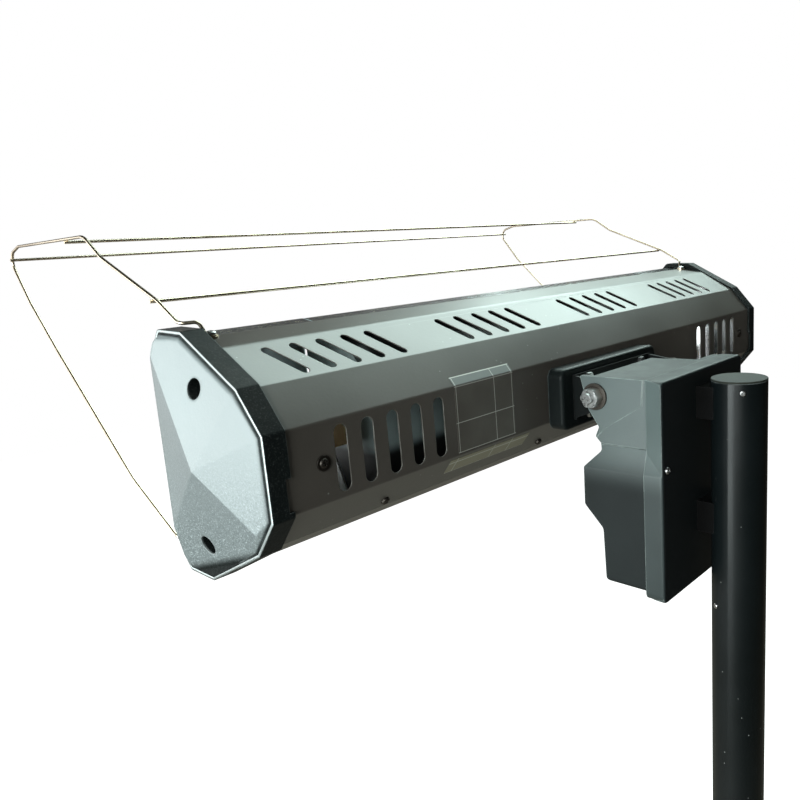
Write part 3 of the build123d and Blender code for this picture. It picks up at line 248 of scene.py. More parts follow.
def edge_group():
    """Corners rounded in the shading, and a mask of how much each corner is rubbed."""
    def fill(tree, given):
        soft = place(tree, "ShaderNodeBevel", {"Radius": given["Radius"]}, samples=6).outputs[0]
        turn = vector_step(tree, "DOT_PRODUCT", soft, outward(tree))
        bend = calc(tree, "SUBTRACT", 1.0, turn)
        patchy = noise(tree, given["Point"], 55.0, 3.0, 0.6)
        worn = times(tree, remap(tree, bend, 0.012, 0.16), remap(tree, patchy))
        return {"Worn": worn, "Edge": remap(tree, bend, 0.004, 0.12), "Normal": soft}
    return group("Rounded Edges", {"Point": None, "Radius": 0.001}, ["Worn", "Edge", "Normal"],
                 fill)


def grain_group():
    """Fine moulded texture: rounded pits of two sizes, with pale specks on the high spots."""
    def fill(tree, given):
        point, scale = given["Point"], given["Scale"]
        coarse = place(tree, "ShaderNodeTexVoronoi", {"Vector": point, "Scale": scale},
                       feature="SMOOTH_F1").outputs[0]
        fine = noise(tree, point, times(tree, scale, 2.3), 4.0, 0.6)
        return {"Height": raised(tree, fine, coarse, 0.6),
                "Specks": remap(tree, fine, given["Speck Level"], 0.78),
                "Shade": remap(tree, noise(tree, point, 9.0, 3.0))}
    return group("Moulded Grain", {"Point": None, "Scale": 900.0, "Speck Level": 0.55},
                 ["Height", "Specks", "Shade"], fill)


def peel_group():
    """The low waves of sprayed powder paint, with a few specks and slow changes of tone."""
    def fill(tree, given):
        point = given["Point"]
        dots = place(tree, "ShaderNodeTexVoronoi", {"Vector": point, "Scale": 75.0}).outputs[0]
        return {"Height": noise(tree, point, given["Scale"], 2.0, 0.45),
                "Shade": remap(tree, noise(tree, point, 6.0, 4.0, 0.55)),
                "Specks": remap(tree, dots, 0.06, 0.03)}
    return group("Powder Coat", {"Point": None, "Scale": 420.0}, ["Height", "Shade", "Specks"],
                 fill)


def brushed_group():
    """Drawn lines of rolled or ground metal; the second point comes in already stretched."""
    def fill(tree, given):
        lines = noise(tree, given["Stretched Point"], given["Scale"], 5.0, 0.65)
        return {"Height": lines, "Lines": remap(tree, lines),
                "Clouds": remap(tree, noise(tree, given["Point"], 14.0, 4.0))}
    return group("Drawn Lines", {"Point": None, "Stretched Point": None, "Scale": 200.0},
                 ["Height", "Lines", "Clouds"], fill)


def dust_group():
    """Outdoor dust that settles on faces that look up, thinner in patches."""
    def fill(tree, given):
        up = split(tree, outward(tree, "Normal"))["Z"]
        patch = noise(tree, given["Point"], 22.0, 6.0, 0.7)
        lying = times(tree, remap(tree, up, 0.2, 1.0), remap(tree, patch, 0.35, 0.75))
        return {"Dust": times(tree, lying, given["Amount"])}
    return group("Settled Dust", {"Point": None, "Amount": 0.2}, ["Dust"], fill)


def drawn_lines(tree, point, stretch, scale):
    """The drawn lines' group, with its second point stretched."""
    return use(tree, brushed_group(), Point=point, Scale=scale,
               Stretched_Point=stretched(tree, point, stretch))


def new_material(name):
    """An empty node material with its tree and the object coordinates in it."""
    material = bpy.data.materials.new(name)
    material.use_nodes = True
    tree = material.node_tree
    tree.nodes.clear()
    return material, tree, place(tree, "ShaderNodeTexCoord").outputs["Object"]


def close_material(material, base, gloss, **others):
    """Ends a material with the Principled shader. others are its further inputs, with _ for each
    space in their names."""
    inputs = {key.replace("_", " "): value for key, value in others.items()}
    inputs.update({"Base Color": base, "Roughness": gloss})
    shader = place(material.node_tree, "ShaderNodeBsdfPrincipled", inputs)
    place(material.node_tree, "ShaderNodeOutputMaterial", {0: shader.outputs[0]})
    return material


def coated_paint(name, colour, other, worn, scale, radius, rough, dust=0.0, **others):
    """Powder-coated steel: waves, slow tone changes, rubbed edges and a little dust."""
    material, tree, point = new_material(name)
    coat = use(tree, peel_group(), Point=point, Scale=scale)
    edge = use(tree, edge_group(), Point=point, Radius=radius)
    settled = use(tree, dust_group(), Point=point, Amount=dust)["Dust"]
    base = blend_colour(tree, coat["Shade"], colour, other)
    base = over(tree, base, worn, edge["Worn"])
    base = over(tree, base, DUST_TONE, settled)
    base = over(tree, base, (0.4, 0.42, 0.4), coat["Specks"], 0.35)
    gloss = raised(tree, rough, coat["Shade"], 0.09)
    gloss = raised(tree, gloss, settled, 0.4, clamp=True)
    waves = bump(tree, coat["Height"], 0.00008, 0.6, edge["Normal"])
    return close_material(material, base, gloss, Normal=waves, **others)


def moulded(name, colour, other, worn, scale, radius, rough, depth, dust=0.0, shine=0.5,
            painted_shade=None):
    """Moulded plastic with a fine cast texture, paler along all its corners as a painted highlight
    and more so where they are rubbed. shine is how much it reflects, and the last argument makes a
    mask of where painted shade keeps it dark and dull."""
    material, tree, point = new_material(name)
    grain = use(tree, grain_group(), Point=point, Scale=scale)
    edge = use(tree, edge_group(), Point=point, Radius=radius)
    settled = use(tree, dust_group(), Point=point, Amount=dust)["Dust"]
    base = blend_colour(tree, grain["Shade"], colour, other)
    base = over(tree, base, worn, grain["Specks"], 0.3)
    # Every corner painted paler: a painted highlight, under the rubbed wear.
    base = over(tree, base, worn, edge["Edge"], 0.30)
    base = over(tree, base, worn, edge["Worn"])
    base = over(tree, base, DUST_TONE, settled)
    gloss = raised(tree, rough, grain["Shade"], 0.10)
    gloss = raised(tree, gloss, settled, 0.35, clamp=True)
    # Painted shade: near black and less reflective where the mask says, halved along corners so
    # the painted highlight stays.
    if painted_shade:
        dark = painted_shade(tree, point)
        mask = times(tree, dark, remap(tree, edge["Edge"], 0.2, 1.0, 1.0, 0.5))
        base = over(tree, base, PAINTED_SHADE_TONE, mask)
        shine = remap(tree, dark, 0.0, 1.0, shine, 0.15 * shine)
    pits = bump(tree, grain["Height"], depth, 0.7, edge["Normal"])
    return close_material(material, base, gloss, Normal=pits, Specular_IOR_Level=shine)


def bare_metal(name, colour, other, scale, radius, rough, spread, stretch=(1, 1, 1)):
    """Bare or plated metal with drawn lines along one axis and cloudy tarnish."""
    material, tree, point = new_material(name)
    drawn = drawn_lines(tree, point, stretch, scale)
    edge = use(tree, edge_group(), Point=point, Radius=radius)
    base = blend_colour(tree, drawn["Clouds"], colour, other)
    dull = raised(tree, rough, drawn["Lines"], spread)
    dull = raised(tree, dull, drawn["Clouds"], spread, clamp=True)
    lines = bump(tree, drawn["Height"], 0.00003, 0.4, edge["Normal"])
    return close_material(material, base, dull, Normal=lines, Metallic=1.0)


def dress(material, *names):
    """Gives CAD nodes their finish."""
    for name in names:
        mesh = NODES[name].data
        mesh.materials.clear()
        mesh.materials.append(material)


# ------------------------------------------------------------------ surfaces
def grid_mesh(name, points, close_v=False):
    """A smooth mesh from an array of points (rows u, columns v, 3), joined to their neighbours.

    Row u and column v make one four-sided face with the next row and column, and the last column
    is joined to the first where the surface closes.
    """
    rows, columns = points.shape[:2]
    u, v = np.meshgrid(np.arange(rows - 1), np.arange(columns if close_v else columns - 1),
                       indexing="ij")
    next_v = (v + 1) % columns
    faces = np.stack([u * columns + v, (u + 1) * columns + v, (u + 1) * columns + next_v,
                      u * columns + next_v], axis=-1).reshape(-1, 4)
    mesh = bpy.data.meshes.new(name)
    mesh.from_pydata(points.reshape(-1, 3).tolist(), [], faces.tolist())
    mesh.polygons.foreach_set("use_smooth", np.full(len(faces), True))
    mesh.update()
    return mesh


def piece(name, points, material, body, replaces=()):
    """Links a surface that closes in v as a piece of the heater that rides on a body."""
    mesh = grid_mesh(name, points, close_v=True)
    mesh.materials.append(material)
    made = bpy.data.objects.new(name, mesh)
    bpy.context.scene.collection.objects.link(made)
    if replaces:
        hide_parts(*replaces)
    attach(made, body)


def rounded_loop(corners, radii, steps=6):
    """Points of a closed outline whose corners are arcs.

    Each arc's points are middle + radius * (cos a, sin a) as a turns between the two sides'
    normals, and neighbouring arcs are joined by straight runs.
    """
    corners = np.asarray(corners, float)
    before, after = np.roll(corners, 1, 0) - corners, np.roll(corners, -1, 0) - corners
    before /= np.linalg.norm(before, axis=1, keepdims=True)
    after /= np.linalg.norm(after, axis=1, keepdims=True)
    half = np.arccos(np.clip((before * after).sum(1), -1, 1)) / 2
    radii = np.asarray(radii)[:, None]
    inward = before + after
    inward /= np.linalg.norm(inward, axis=1, keepdims=True)
    middles = corners + inward * radii / np.sin(half)[:, None]
    starts = corners + before * radii / np.tan(half)[:, None] - middles
    ends = corners + after * radii / np.tan(half)[:, None] - middles
    share = np.linspace(0, 1, steps)[None, :, None]
    arcs = starts[:, None] * (1 - share) + ends[:, None] * share
    arcs *= radii[:, None] / np.linalg.norm(arcs, axis=2, keepdims=True)
    return (middles[:, None] + arcs).reshape(-1, 2)


def inset_loop(loop, distance):
    """A closed outline with every point moved inward along the mean of its sides' normals."""
    ahead = np.roll(loop, -1, 0) - loop
    normal = np.stack([ahead[:, 1], -ahead[:, 0]], 1)
    normal /= np.linalg.norm(normal, axis=1, keepdims=True)
    mean = normal + np.roll(normal, 1, 0)
    mean /= np.maximum((mean * mean).sum(1, keepdims=True), 1e-9) / 2
    area = (loop[:, 0] * np.roll(loop[:, 1], -1) - np.roll(loop[:, 0], -1) * loop[:, 1]).sum()
    return loop - mean * distance * np.sign(area)


def coil_points(radius, wire, pitch, half_length, per_turn=16, round_wire=7):
    """A helix tube along X: centre (x, r cos t, r sin t) with x = pitch * t / 2 pi, and round it
    a circle of the wire's radius in the plane of the helix's own normal and binormal."""
    turns = 2 * half_length / pitch
    t = np.linspace(0, 2 * np.pi * turns, int(turns * per_turn))[:, None]
    rise = pitch / (2 * np.pi)
    zero = np.zeros_like(t)
    centre = np.concatenate([t * rise - half_length, radius * np.cos(t), radius * np.sin(t)], 1)
    tangent = np.concatenate([zero + rise, -radius * np.sin(t), radius * np.cos(t)], 1)
    tangent /= np.linalg.norm(tangent, axis=1, keepdims=True)
    away = np.concatenate([zero, np.cos(t), np.sin(t)], 1)
    side = np.cross(tangent, away)
    a = np.linspace(0, 2 * np.pi, round_wire, endpoint=False)[None, :, None]
    return centre[:, None] + wire * (np.cos(a) * away[:, None] + np.sin(a) * side[:, None])


# ------------------------------------------------------------------ settings
def colour_setting(name, description, default):
    """A colour that a user would change."""
    return FloatVectorProperty(name=name, description=description, subtype="COLOR", min=0, max=1,
                               default=default)


def length_setting(name, description, default, low, high):
    """A length in metres, held between two limits."""
    return FloatProperty(name=name, description=description, subtype="DISTANCE", unit="LENGTH",
                         default=default, min=low, max=high)


def power_setting(name, description, default):
    """A light's power in watts."""
    return FloatProperty(name=name, description=description, unit="POWER", default=default,
                         min=0.0, max=2000.0)


class HeaterFinish(bpy.types.PropertyGroup):
    """Colours of the heater's finishes."""
    panel_colour: colour_setting("Panel Paint", "Powder coat of the housing",
                                 (0.047, 0.042, 0.036))
    cap_colour: colour_setting("Cap Plastic", "Moulded end caps", (0.006, 0.008, 0.008))
    # The pale face colour is a painted sheen: the face is black plastic, painted pale where its
    # sheen would show.
    face_sheen_colour: colour_setting("Cap Face", "Faceted face of each end cap", (0.205, 0.238, 0.242))
    box_colour: colour_setting("Box Plastic", "Arm and control box", (0.050, 0.066, 0.065))
    pole_colour: colour_setting("Pole Paint", "Pole and base cover", (0.0022, 0.0036, 0.0040))
    wire_colour: colour_setting("Guard Wire", "Plated guard wire", (0.80, 0.70, 0.55))
    rim_colour: colour_setting("Rim Line", "Painted line round each cap's rim",
                               (0.37, 0.41, 0.41))


class HeaterDetail(bpy.types.PropertyGroup):
    """Sizes of the fine pieces."""
    rim_width: length_setting("Rim Line Width", "Width of the line round a cap's rim",
                              0.0021, 0.0005, 0.004)
    coil_radius: length_setting("Filament Radius", "Radius of the filament's turns",
                                0.00155, 0.0005, 0.003)
    coil_wire: length_setting("Filament Wire", "Radius of the filament's wire",
                              0.00035, 0.0001, 0.001)
    coil_pitch: length_setting("Filament Pitch", "Distance between two turns",
                               0.0026, 0.001, 0.01)
    thread_pitch: length_setting("Thread Pitch", "Pitch of the pivot bolt's thread",
                                 0.0015, 0.0005, 0.003)


class HeaterStage(bpy.types.PropertyGroup):
    """Floor, light and camera."""
    floor_half: length_setting("Floor Half Width", "Half the side of the square floor",
                               9.0, 2.0, 40.0)
    key_strength: power_setting("Side Light", "Power of the light at the cap's side", 50.0)
    front_strength: power_setting("Front Light", "Power of the light before the lamp", 24.0)
    strip_strength: power_setting("Strip Light", "Power of the pole's narrow light", 30.0)
    top_strength: power_setting("Top Light", "Power of the light over the panels", 80.0)
    sky_strength: FloatProperty(name="Sky Fill", description="Strength of the even fill light",
                                default=0.16, min=0.0, max=2.0)
    lens: FloatProperty(name="Lens", description="Focal length on a 36 mm sensor, in millimetres",
                        subtype="DISTANCE_CAMERA", default=33.35, min=10.0, max=200.0)


# ------------------------------------------------------------------ operators
class HEATER_OT_housing(bpy.types.Operator):
    """Coats the housing and greys the sheet metal inside it"""
    bl_idname = "heater.housing"
    bl_label = "Finish Housing"

    def execute(self, context):
        colour = context.scene.heater_finish.panel_colour
        paint = coated_paint("housing_paint", colour, shade_of(colour, 1.35), (0.34, 0.35, 0.33),
                             scale=420.0, radius=0.0007, rough=0.30, dust=0.03,
                             Specular_IOR_Level=0.60)
        dress(paint, "housing_shell")
        zinc = bare_metal("zinc_steel", (0.50, 0.51, 0.52), (0.62, 0.62, 0.60), scale=60.0,
                          radius=0.0004, rough=0.30, spread=0.10, stretch=(1, 12, 12))
        dress(zinc, "back_stiffener", "lamp_brackets", "overheat_cutout", "pivot_tube")
        return {"FINISHED"}


class HEATER_OT_caps(bpy.types.Operator):
    """Gives both end caps their dark skirt, a faceted face with a painted pale sheen, and bright
    rim line
    """
    bl_idname = "heater.caps"
    bl_label = "Finish End Caps"

    def face_material(self, look):
        """Textured plastic: black on the skirt and in the wells, and on the faceted face a pale
        coat that is a painted sheen, fading out beside the rim as painted shade. The painted sheen
        is darker where a facet looks back and up, and darker and mottled towards the bottom, with
        painted glints there."""
        material, tree, point = new_material("cap_plastic")
        axes = split(tree, point)
        proud = calc(tree, "SUBTRACT", calc(tree, "ABSOLUTE", axes["X"]), CAP_FACE_X)
        grain = use(tree, grain_group(), Point=point, Scale=360.0, Speck_Level=0.50)
        radius = remap(tree, proud, 0.0, 0.0020, 0.0010, 0.0035)
        edge = use(tree, edge_group(), Point=point, Radius=radius)
        settled = use(tree, dust_group(), Point=point, Amount=0.04)["Dust"]
        # low grows towards the bottom of the cap; it places painted shade and painted glints
        # there.
        low = remap(tree, axes["Z"], POLE_TOP + 0.030, POLE_TOP - 0.095)
        way = outward(tree)
        out = calc(tree, "ABSOLUTE", split(tree, way)["X"])
        # The face shows the painted sheen, which thins out beside the rim as painted shade; the
        # skirt does not.
        sheen_on_face = times(tree, remap(tree, proud, 0.0002, 0.0024), remap(tree, out, 0.25, 0.62))
        # The face's pale coat is a painted sheen on the black plastic, in two tones of the grain.
        coat = blend_colour(tree, grain["Shade"], look.face_sheen_colour,
                            shade_of(look.face_sheen_colour, 1.15))
        # Painted shade on facets that look back and up.
        turned = vector_step(tree, "DOT_PRODUCT", way, (0, 0.75, 0.66))
        facet_shade = times(tree, remap(tree, turned, 0.22, -0.12), 0.60)
        coat = over(tree, coat, shade_of(look.face_sheen_colour, 0.30), facet_shade)
        # Darker towards the bottom: painted shade.
        coat = over(tree, coat, (0.075, 0.092, 0.095), low, 0.25)
        # Mottled painted shade where facets look back and up and towards the bottom.
        mottle = noise(tree, point, 620.0, 2.0, 0.7)
        mottled_shade = times(tree, remap(tree, mottle, 0.56, 0.40), most(tree, facet_shade, low))
        coat = over(tree, coat, (0.05, 0.065, 0.068), mottled_shade, 0.55)
        # Pale specks towards the bottom: painted glints.
        coat = over(tree, coat, (0.55, 0.62, 0.62), times(tree, grain["Specks"], low), 0.80)
        base = over(tree, look.cap_colour, (0.25, 0.28, 0.27), grain["Specks"], 0.10)
        # The painted sheen laid on the face.
        base = over(tree, base, coat, sheen_on_face)
        base = over(tree, base, (0.34, 0.38, 0.38), edge["Worn"], 0.5)
        base = over(tree, base, DUST_TONE, settled)
        return close_material(material, base, raised(tree, 0.40, grain["Shade"], 0.08),
                              Normal=bump(tree, grain["Height"], 0.00022, 0.6, edge["Normal"]),
                              Specular_IOR_Level=remap(tree, sheen_on_face, 0.0, 1.0, 0.05, 0.75))

    def rim_lines(self, silver, width):
        """A low band round each cap's rim: the outline carried inward over a rounded section,
        x = face + height * (1 - s^4), inset = start + width * (1 + s) / 2 for s from -1 to 1."""
        outline = rounded_loop([(y, z + POLE_TOP) for y, z in RIM_CORNERS], RIM_RADII)
        s = np.linspace(-1, 1, 7)
        flat = np.stack([inset_loop(outline, RIM_START + width * (1 + value) / 2) for value in s])
        proud = CAP_FACE_X + RIM_HEIGHT * (1 - s ** 4) - RIM_SUNK
        for side, name in ((1, "rim_line_left"), (-1, "rim_line_right")):
            x = np.broadcast_to((side * proud)[:, None, None], flat.shape[:2] + (1,))
            points = np.concatenate([x, flat], axis=2)
            piece(name, points[:, ::side], silver, "head")

    def execute(self, context):
        look = context.scene.heater_finish
        dress(self.face_material(look), "end_cap_left", "end_cap_right")
        silver = bare_metal("rim_silver", look.rim_colour, shade_of(look.rim_colour, 1.15),
                            scale=90.0, radius=0.0003, rough=0.32, spread=0.08)
        self.rim_lines(silver, context.scene.heater_detail.rim_width)
        return {"FINISHED"}


class HEATER_OT_lamp(bpy.types.Operator):
    """Polishes the reflector, tints the lamp and winds its filament"""
    bl_idname = "heater.lamp"
    bl_label = "Finish Lamp"

    def trough(self):
        """Polished aluminium inside the trough and on its lips. The back of the sheet, which looks
        away from the trough's centre line, and the outer side of the two ends are dull, in a
        teal-grey that is a painted reflection; they are dark where they look up, and painted
        shadow darkens them where they lie low."""
        material, tree, point = new_material("trough_aluminium")
        drawn = drawn_lines(tree, point, (1, 40, 40), 35.0)
        spoke = vector_step(tree, "SUBTRACT", point, TROUGH_CENTRE)
        spoke = vector_step(tree, "MULTIPLY", spoke, (0, 1, 1))
        way = outward(tree)
        facing = vector_step(tree, "DOT_PRODUCT", spoke, way)
        far = vector_step(tree, "LENGTH", spoke)
        back = times(tree, calc(tree, "GREATER_THAN", facing, 0.0),
                     calc(tree, "LESS_THAN", far, TROUGH_REACH))
        across = split(tree, vector_step(tree, "MULTIPLY", point, way))["X"]
        back = most(tree, back, calc(tree, "GREATER_THAN", across, 0.1))
        # Dark where the back looks up, and painted shadow low down; the teal-grey elsewhere is a
        # painted reflection.
        dark_top_and_low_shadow = most(tree, remap(tree, split(tree, way)["Z"], 0.3, 0.7),
                     remap(tree, split(tree, point)["Z"], POLE_TOP - 0.020, POLE_TOP - 0.032))
        dull = blend_colour(tree, dark_top_and_low_shadow, (0.30, 0.38, 0.38), (0.012, 0.013, 0.013))
        base = over(tree, blend_colour(tree, drawn["Clouds"], *ALUMINIUM), dull, back)
        gloss = raised(tree, raised(tree, 0.10, drawn["Lines"], 0.06), back, 0.40)
        return close_material(material, base, gloss, Metallic=calc(tree, "SUBTRACT", 1.0, back),
                              Normal=bump(tree, drawn["Height"], 0.00003, 0.4))

    def quartz(self):
        """Gold-tinted quartz, a little denser in rings along the tube."""
        material, tree, point = new_material("lamp_quartz")
        bands = noise(tree, stretched(tree, point, (30, 2, 2)), 3.0, 3.0)
        tint = blend_colour(tree, remap(tree, bands), (0.95, 0.52, 0.16), (0.98, 0.66, 0.30))
        return close_material(material, tint, raised(tree, 0.02, bands, 0.05),
                              Transmission_Weight=0.85, IOR=1.46)

    def ceramic(self, name, first, second):
        """Unglazed steatite with fine pores and handling marks."""
        material, tree, point = new_material(name)
        grain = use(tree, grain_group(), Point=point, Scale=600.0)
        edge = use(tree, edge_group(), Point=point, Radius=0.0006)
        base = blend_colour(tree, grain["Shade"], first, second)
        base = over(tree, base, (0.52, 0.47, 0.40), edge["Worn"], 0.5)
        return close_material(material, base, raised(tree, 0.55, grain["Shade"], 0.12),
                              Normal=bump(tree, grain["Height"], 0.0001, 0.5, edge["Normal"]))

    def execute(self, context):
        detail = context.scene.heater_detail
        mirror = bare_metal("polished_aluminium", *ALUMINIUM, scale=35.0, radius=0.0004,
                            rough=0.10, spread=0.06, stretch=(1, 40, 40))
        dress(mirror, "front_covers", "end_plates")
        dress(self.trough(), "reflector", "reflector_ends")
        dress(self.quartz(), "lamp_tube")
        dress(self.ceramic("ceramic", (0.78, 0.75, 0.67), (0.86, 0.84, 0.78)),
              "terminal_block", "box_terminal_block")
        dress(self.ceramic("scorched_ceramic", (0.90, 0.52, 0.20), (0.95, 0.70, 0.38)),
              "lamp_holders")
        wire = bare_metal("tungsten", (0.42, 0.38, 0.34), (0.55, 0.50, 0.44), scale=300.0,
                          radius=0.0001, rough=0.35, spread=0.08)
        half = (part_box("lamp_filament")[1][0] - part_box("lamp_filament")[0][0]) / 2
        points = coil_points(detail.coil_radius, detail.coil_wire, detail.coil_pitch,
                             half - LAMP_END_GAP)
        piece("filament_coil", points + np.array([0.0, *LAMP_AXIS]), wire, "head",
              replaces=["lamp_filament"])
        return {"FINISHED"}


class HEATER_OT_guard(bpy.types.Operator):
    """Plates the wire guard"""
    bl_idname = "heater.guard"
    bl_label = "Finish Guard"

    def execute(self, context):
        warm = context.scene.heater_finish.wire_colour
        wire = bare_metal("guard_chrome", warm, [warm[0] * 0.55, warm[1] * 0.52, warm[2] * 0.50],
                          scale=40.0, radius=0.0002, rough=0.24, spread=0.05)
        dress(wire, "guard_loop_left", "guard_loop_right", "guard_rod_rear", "guard_rod_middle",
              "guard_rod_front")
        return {"FINISHED"}


class HEATER_OT_fasteners(bpy.types.Operator):
    """Finishes every screw, bolt, washer and rivet, and cuts the pivot bolt's thread"""
    bl_idname = "heater.fasteners"
    bl_label = "Finish Fasteners"

    def thread(self, radius, length, pitch):
        """A screw thread along X: r = root + depth * tooth(angle + 2 pi x / pitch), where tooth is
        a triangle wave, faded out at both ends."""
        x = np.linspace(0, length, int(length / pitch * 10))[:, None]
        angle = np.linspace(0, 2 * np.pi, 33, endpoint=False)[None, :]
        tooth = 1 - np.abs(2 * ((x / pitch - angle / (2 * np.pi)) % 1.0) - 1)
        ends = np.clip(np.minimum(x, length - x) / (0.6 * pitch), 0, 1)
        r = radius + THREAD_LIFT + THREAD_DEPTH * tooth * ends
        return np.stack([np.broadcast_to(x, r.shape), r * np.cos(angle), r * np.sin(angle)],
                        axis=2)

    def execute(self, context):
        bright = bare_metal("bright_steel", (0.62, 0.63, 0.64), (0.45, 0.45, 0.44), scale=120.0,
                            radius=0.0004, rough=0.20, spread=0.10, stretch=(3, 3, 3))
        dress(bright, "guard_screws", "bracket_screws", "cap_screws", "pivot_bolt", "pivot_nut",
              "cover_screws", "pole_bolts", "base_bolts", "pole_rivets")
        black = bare_metal("blackened_steel", (0.045, 0.040, 0.036), (0.09, 0.08, 0.07),
                           scale=120.0, radius=0.0004, rough=0.38, spread=0.10, stretch=(3, 3, 3))
        dress(black, "housing_screws", "pole_screws", "pivot_washers")
        low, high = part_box("pivot_bolt")
        nut_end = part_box("pivot_nut")[1][0]
        points = self.thread(BOLT_RADIUS, high[0] - nut_end - THREAD_SHORT,
                             context.scene.heater_detail.thread_pitch)
        piece("bolt_thread", points + np.array([nut_end + THREAD_START, *PIVOT_AXIS]), bright,
              "stand")
        return {"FINISHED"}


class HEATER_OT_labels(bpy.types.Operator):
    """Prints empty ruled boxes on the two bare foil labels"""
    bl_idname = "heater.labels"
    bl_label = "Finish Labels"

    def rule_group(self):
        """A straight line across a value: 1 within a width of a place, else 0."""
        def fill(tree, given):
            gap = calc(tree, "SUBTRACT", given["Value"], given["Place"])
            return {"Line": calc(tree, "LESS_THAN", calc(tree, "ABSOLUTE", gap), given["Width"])}
        return group("Ruled Line", {"Value": 0.0, "Place": 0.0, "Width": RULE_WIDTH}, ["Line"],
                     fill)

    def execute(self, context):
        material, tree, point = new_material("foil")
        axes = split(tree, point)
        drawn = drawn_lines(tree, point, (1, 30, 30), 60.0)
        rules = None
        for axis, where in LABEL_RULES:
            line = use(tree, self.rule_group(), Value=axes[axis], Place=where,
                       Width=RULE_WIDTH)["Line"]
            rules = line if rules is None else most(tree, rules, line)
        # The foil is painted lighter on the slanted fold as painted light, and olive-brown on the
        # lower bevel as a painted reflection of the floor.
        slanted_painted_light = remap(tree, axes["Z"], UPPER_FOLD_Z, UPPER_FOLD_Z + 0.002)
        bevel_painted_reflection = remap(tree, axes["Z"], LOWER_FOLD_Z, LOWER_FOLD_Z - 0.001)
        base = blend_colour(tree, drawn["Clouds"], (0.115, 0.105, 0.090), (0.16, 0.15, 0.13))
        base = over(tree, base, (0.17, 0.18, 0.175), slanted_painted_light)
        base = over(tree, base, (0.30, 0.29, 0.20), bevel_painted_reflection, 0.6)
        base = over(tree, base, (0.60, 0.60, 0.55), rules, 0.9)
        edge = use(tree, edge_group(), Point=point, Radius=0.0003)
        close_material(material, base, raised(tree, 0.34, drawn["Lines"], 0.12), Metallic=0.55,
                       Normal=bump(tree, drawn["Height"], 0.00004, 0.4, edge["Normal"]))
        dress(material, "blank_labels")
        return {"FINISHED"}


class HEATER_OT_box(bpy.types.Operator):
    """Finishes the pad, tilt bracket, arm, control box and cover"""
    bl_idname = "heater.box"
    bl_label = "Finish Control Box"

    def shaded(self, tree, point):
        """Painted shade on the box: below the arm, on faces that look up, in patches, and on the
        cover's back."""
        axes = split(tree, point)
        # Painted shade below the arm, a little less on the cover's side strip.
        strip = remap(tree, axes["Y"], SEAM_Y - 0.0005, SEAM_Y + 0.0005, 0.90, 0.68)
        low = times(tree, remap(tree, axes["Z"], POLE_TOP - 0.055, POLE_TOP - 0.100), strip)
        # Painted shade on faces that look up, in patches.
        up = split(tree, outward(tree))["Z"]
        top_shade_patches = remap(tree, noise(tree, point, 40.0, 5.0, 0.65), to_low=0.82, to_high=0.97)
        top = times(tree, remap(tree, up, 0.55, 0.95), top_shade_patches)
        # Painted shade on the cover's back, which looks away from the lights.
        back = remap(tree, axes["Y"], COVER_BACK_Y - 0.003, COVER_BACK_Y - 0.0004)
        return most(tree, times(tree, back, 0.97), most(tree, top, low))

    def execute(self, context):
        colour = context.scene.heater_finish.box_colour
        # The cover's copy of the plastic is painted 1.3 times lighter than the body's: a painted
        # sheen.
        finishes = (("box_body", "box_plastic", 1.0, 1.4, 0.36),
                    ("box_cover", "cover_plastic", 1.3, 1.8, 0.34))
        for node, name, share, other_share, rough in finishes:
            satin = moulded(name, shade_of(colour, share), shade_of(colour, other_share),
                            BOX_RUBBED_AND_HIGHLIGHT, scale=1500.0, radius=0.0016, rough=rough, depth=0.00003,
                            shine=0.75, painted_shade=self.shaded)
            dress(satin, node)
        pad = moulded("pad_plastic", (0.003, 0.004, 0.004), (0.005, 0.007, 0.007),
                      (0.14, 0.17, 0.17), scale=1500.0, radius=0.0022, rough=0.34, depth=0.00003,
                      shine=0.12)
        dress(pad, "mount_pad")
        steel = coated_paint("bracket_paint", (0.004, 0.005, 0.005), (0.007, 0.008, 0.008),
                             (0.06, 0.06, 0.06), scale=500.0, radius=0.0006, rough=0.50,
                             Specular_IOR_Level=0.08)
        dress(steel, "tilt_bracket")
        return {"FINISHED"}


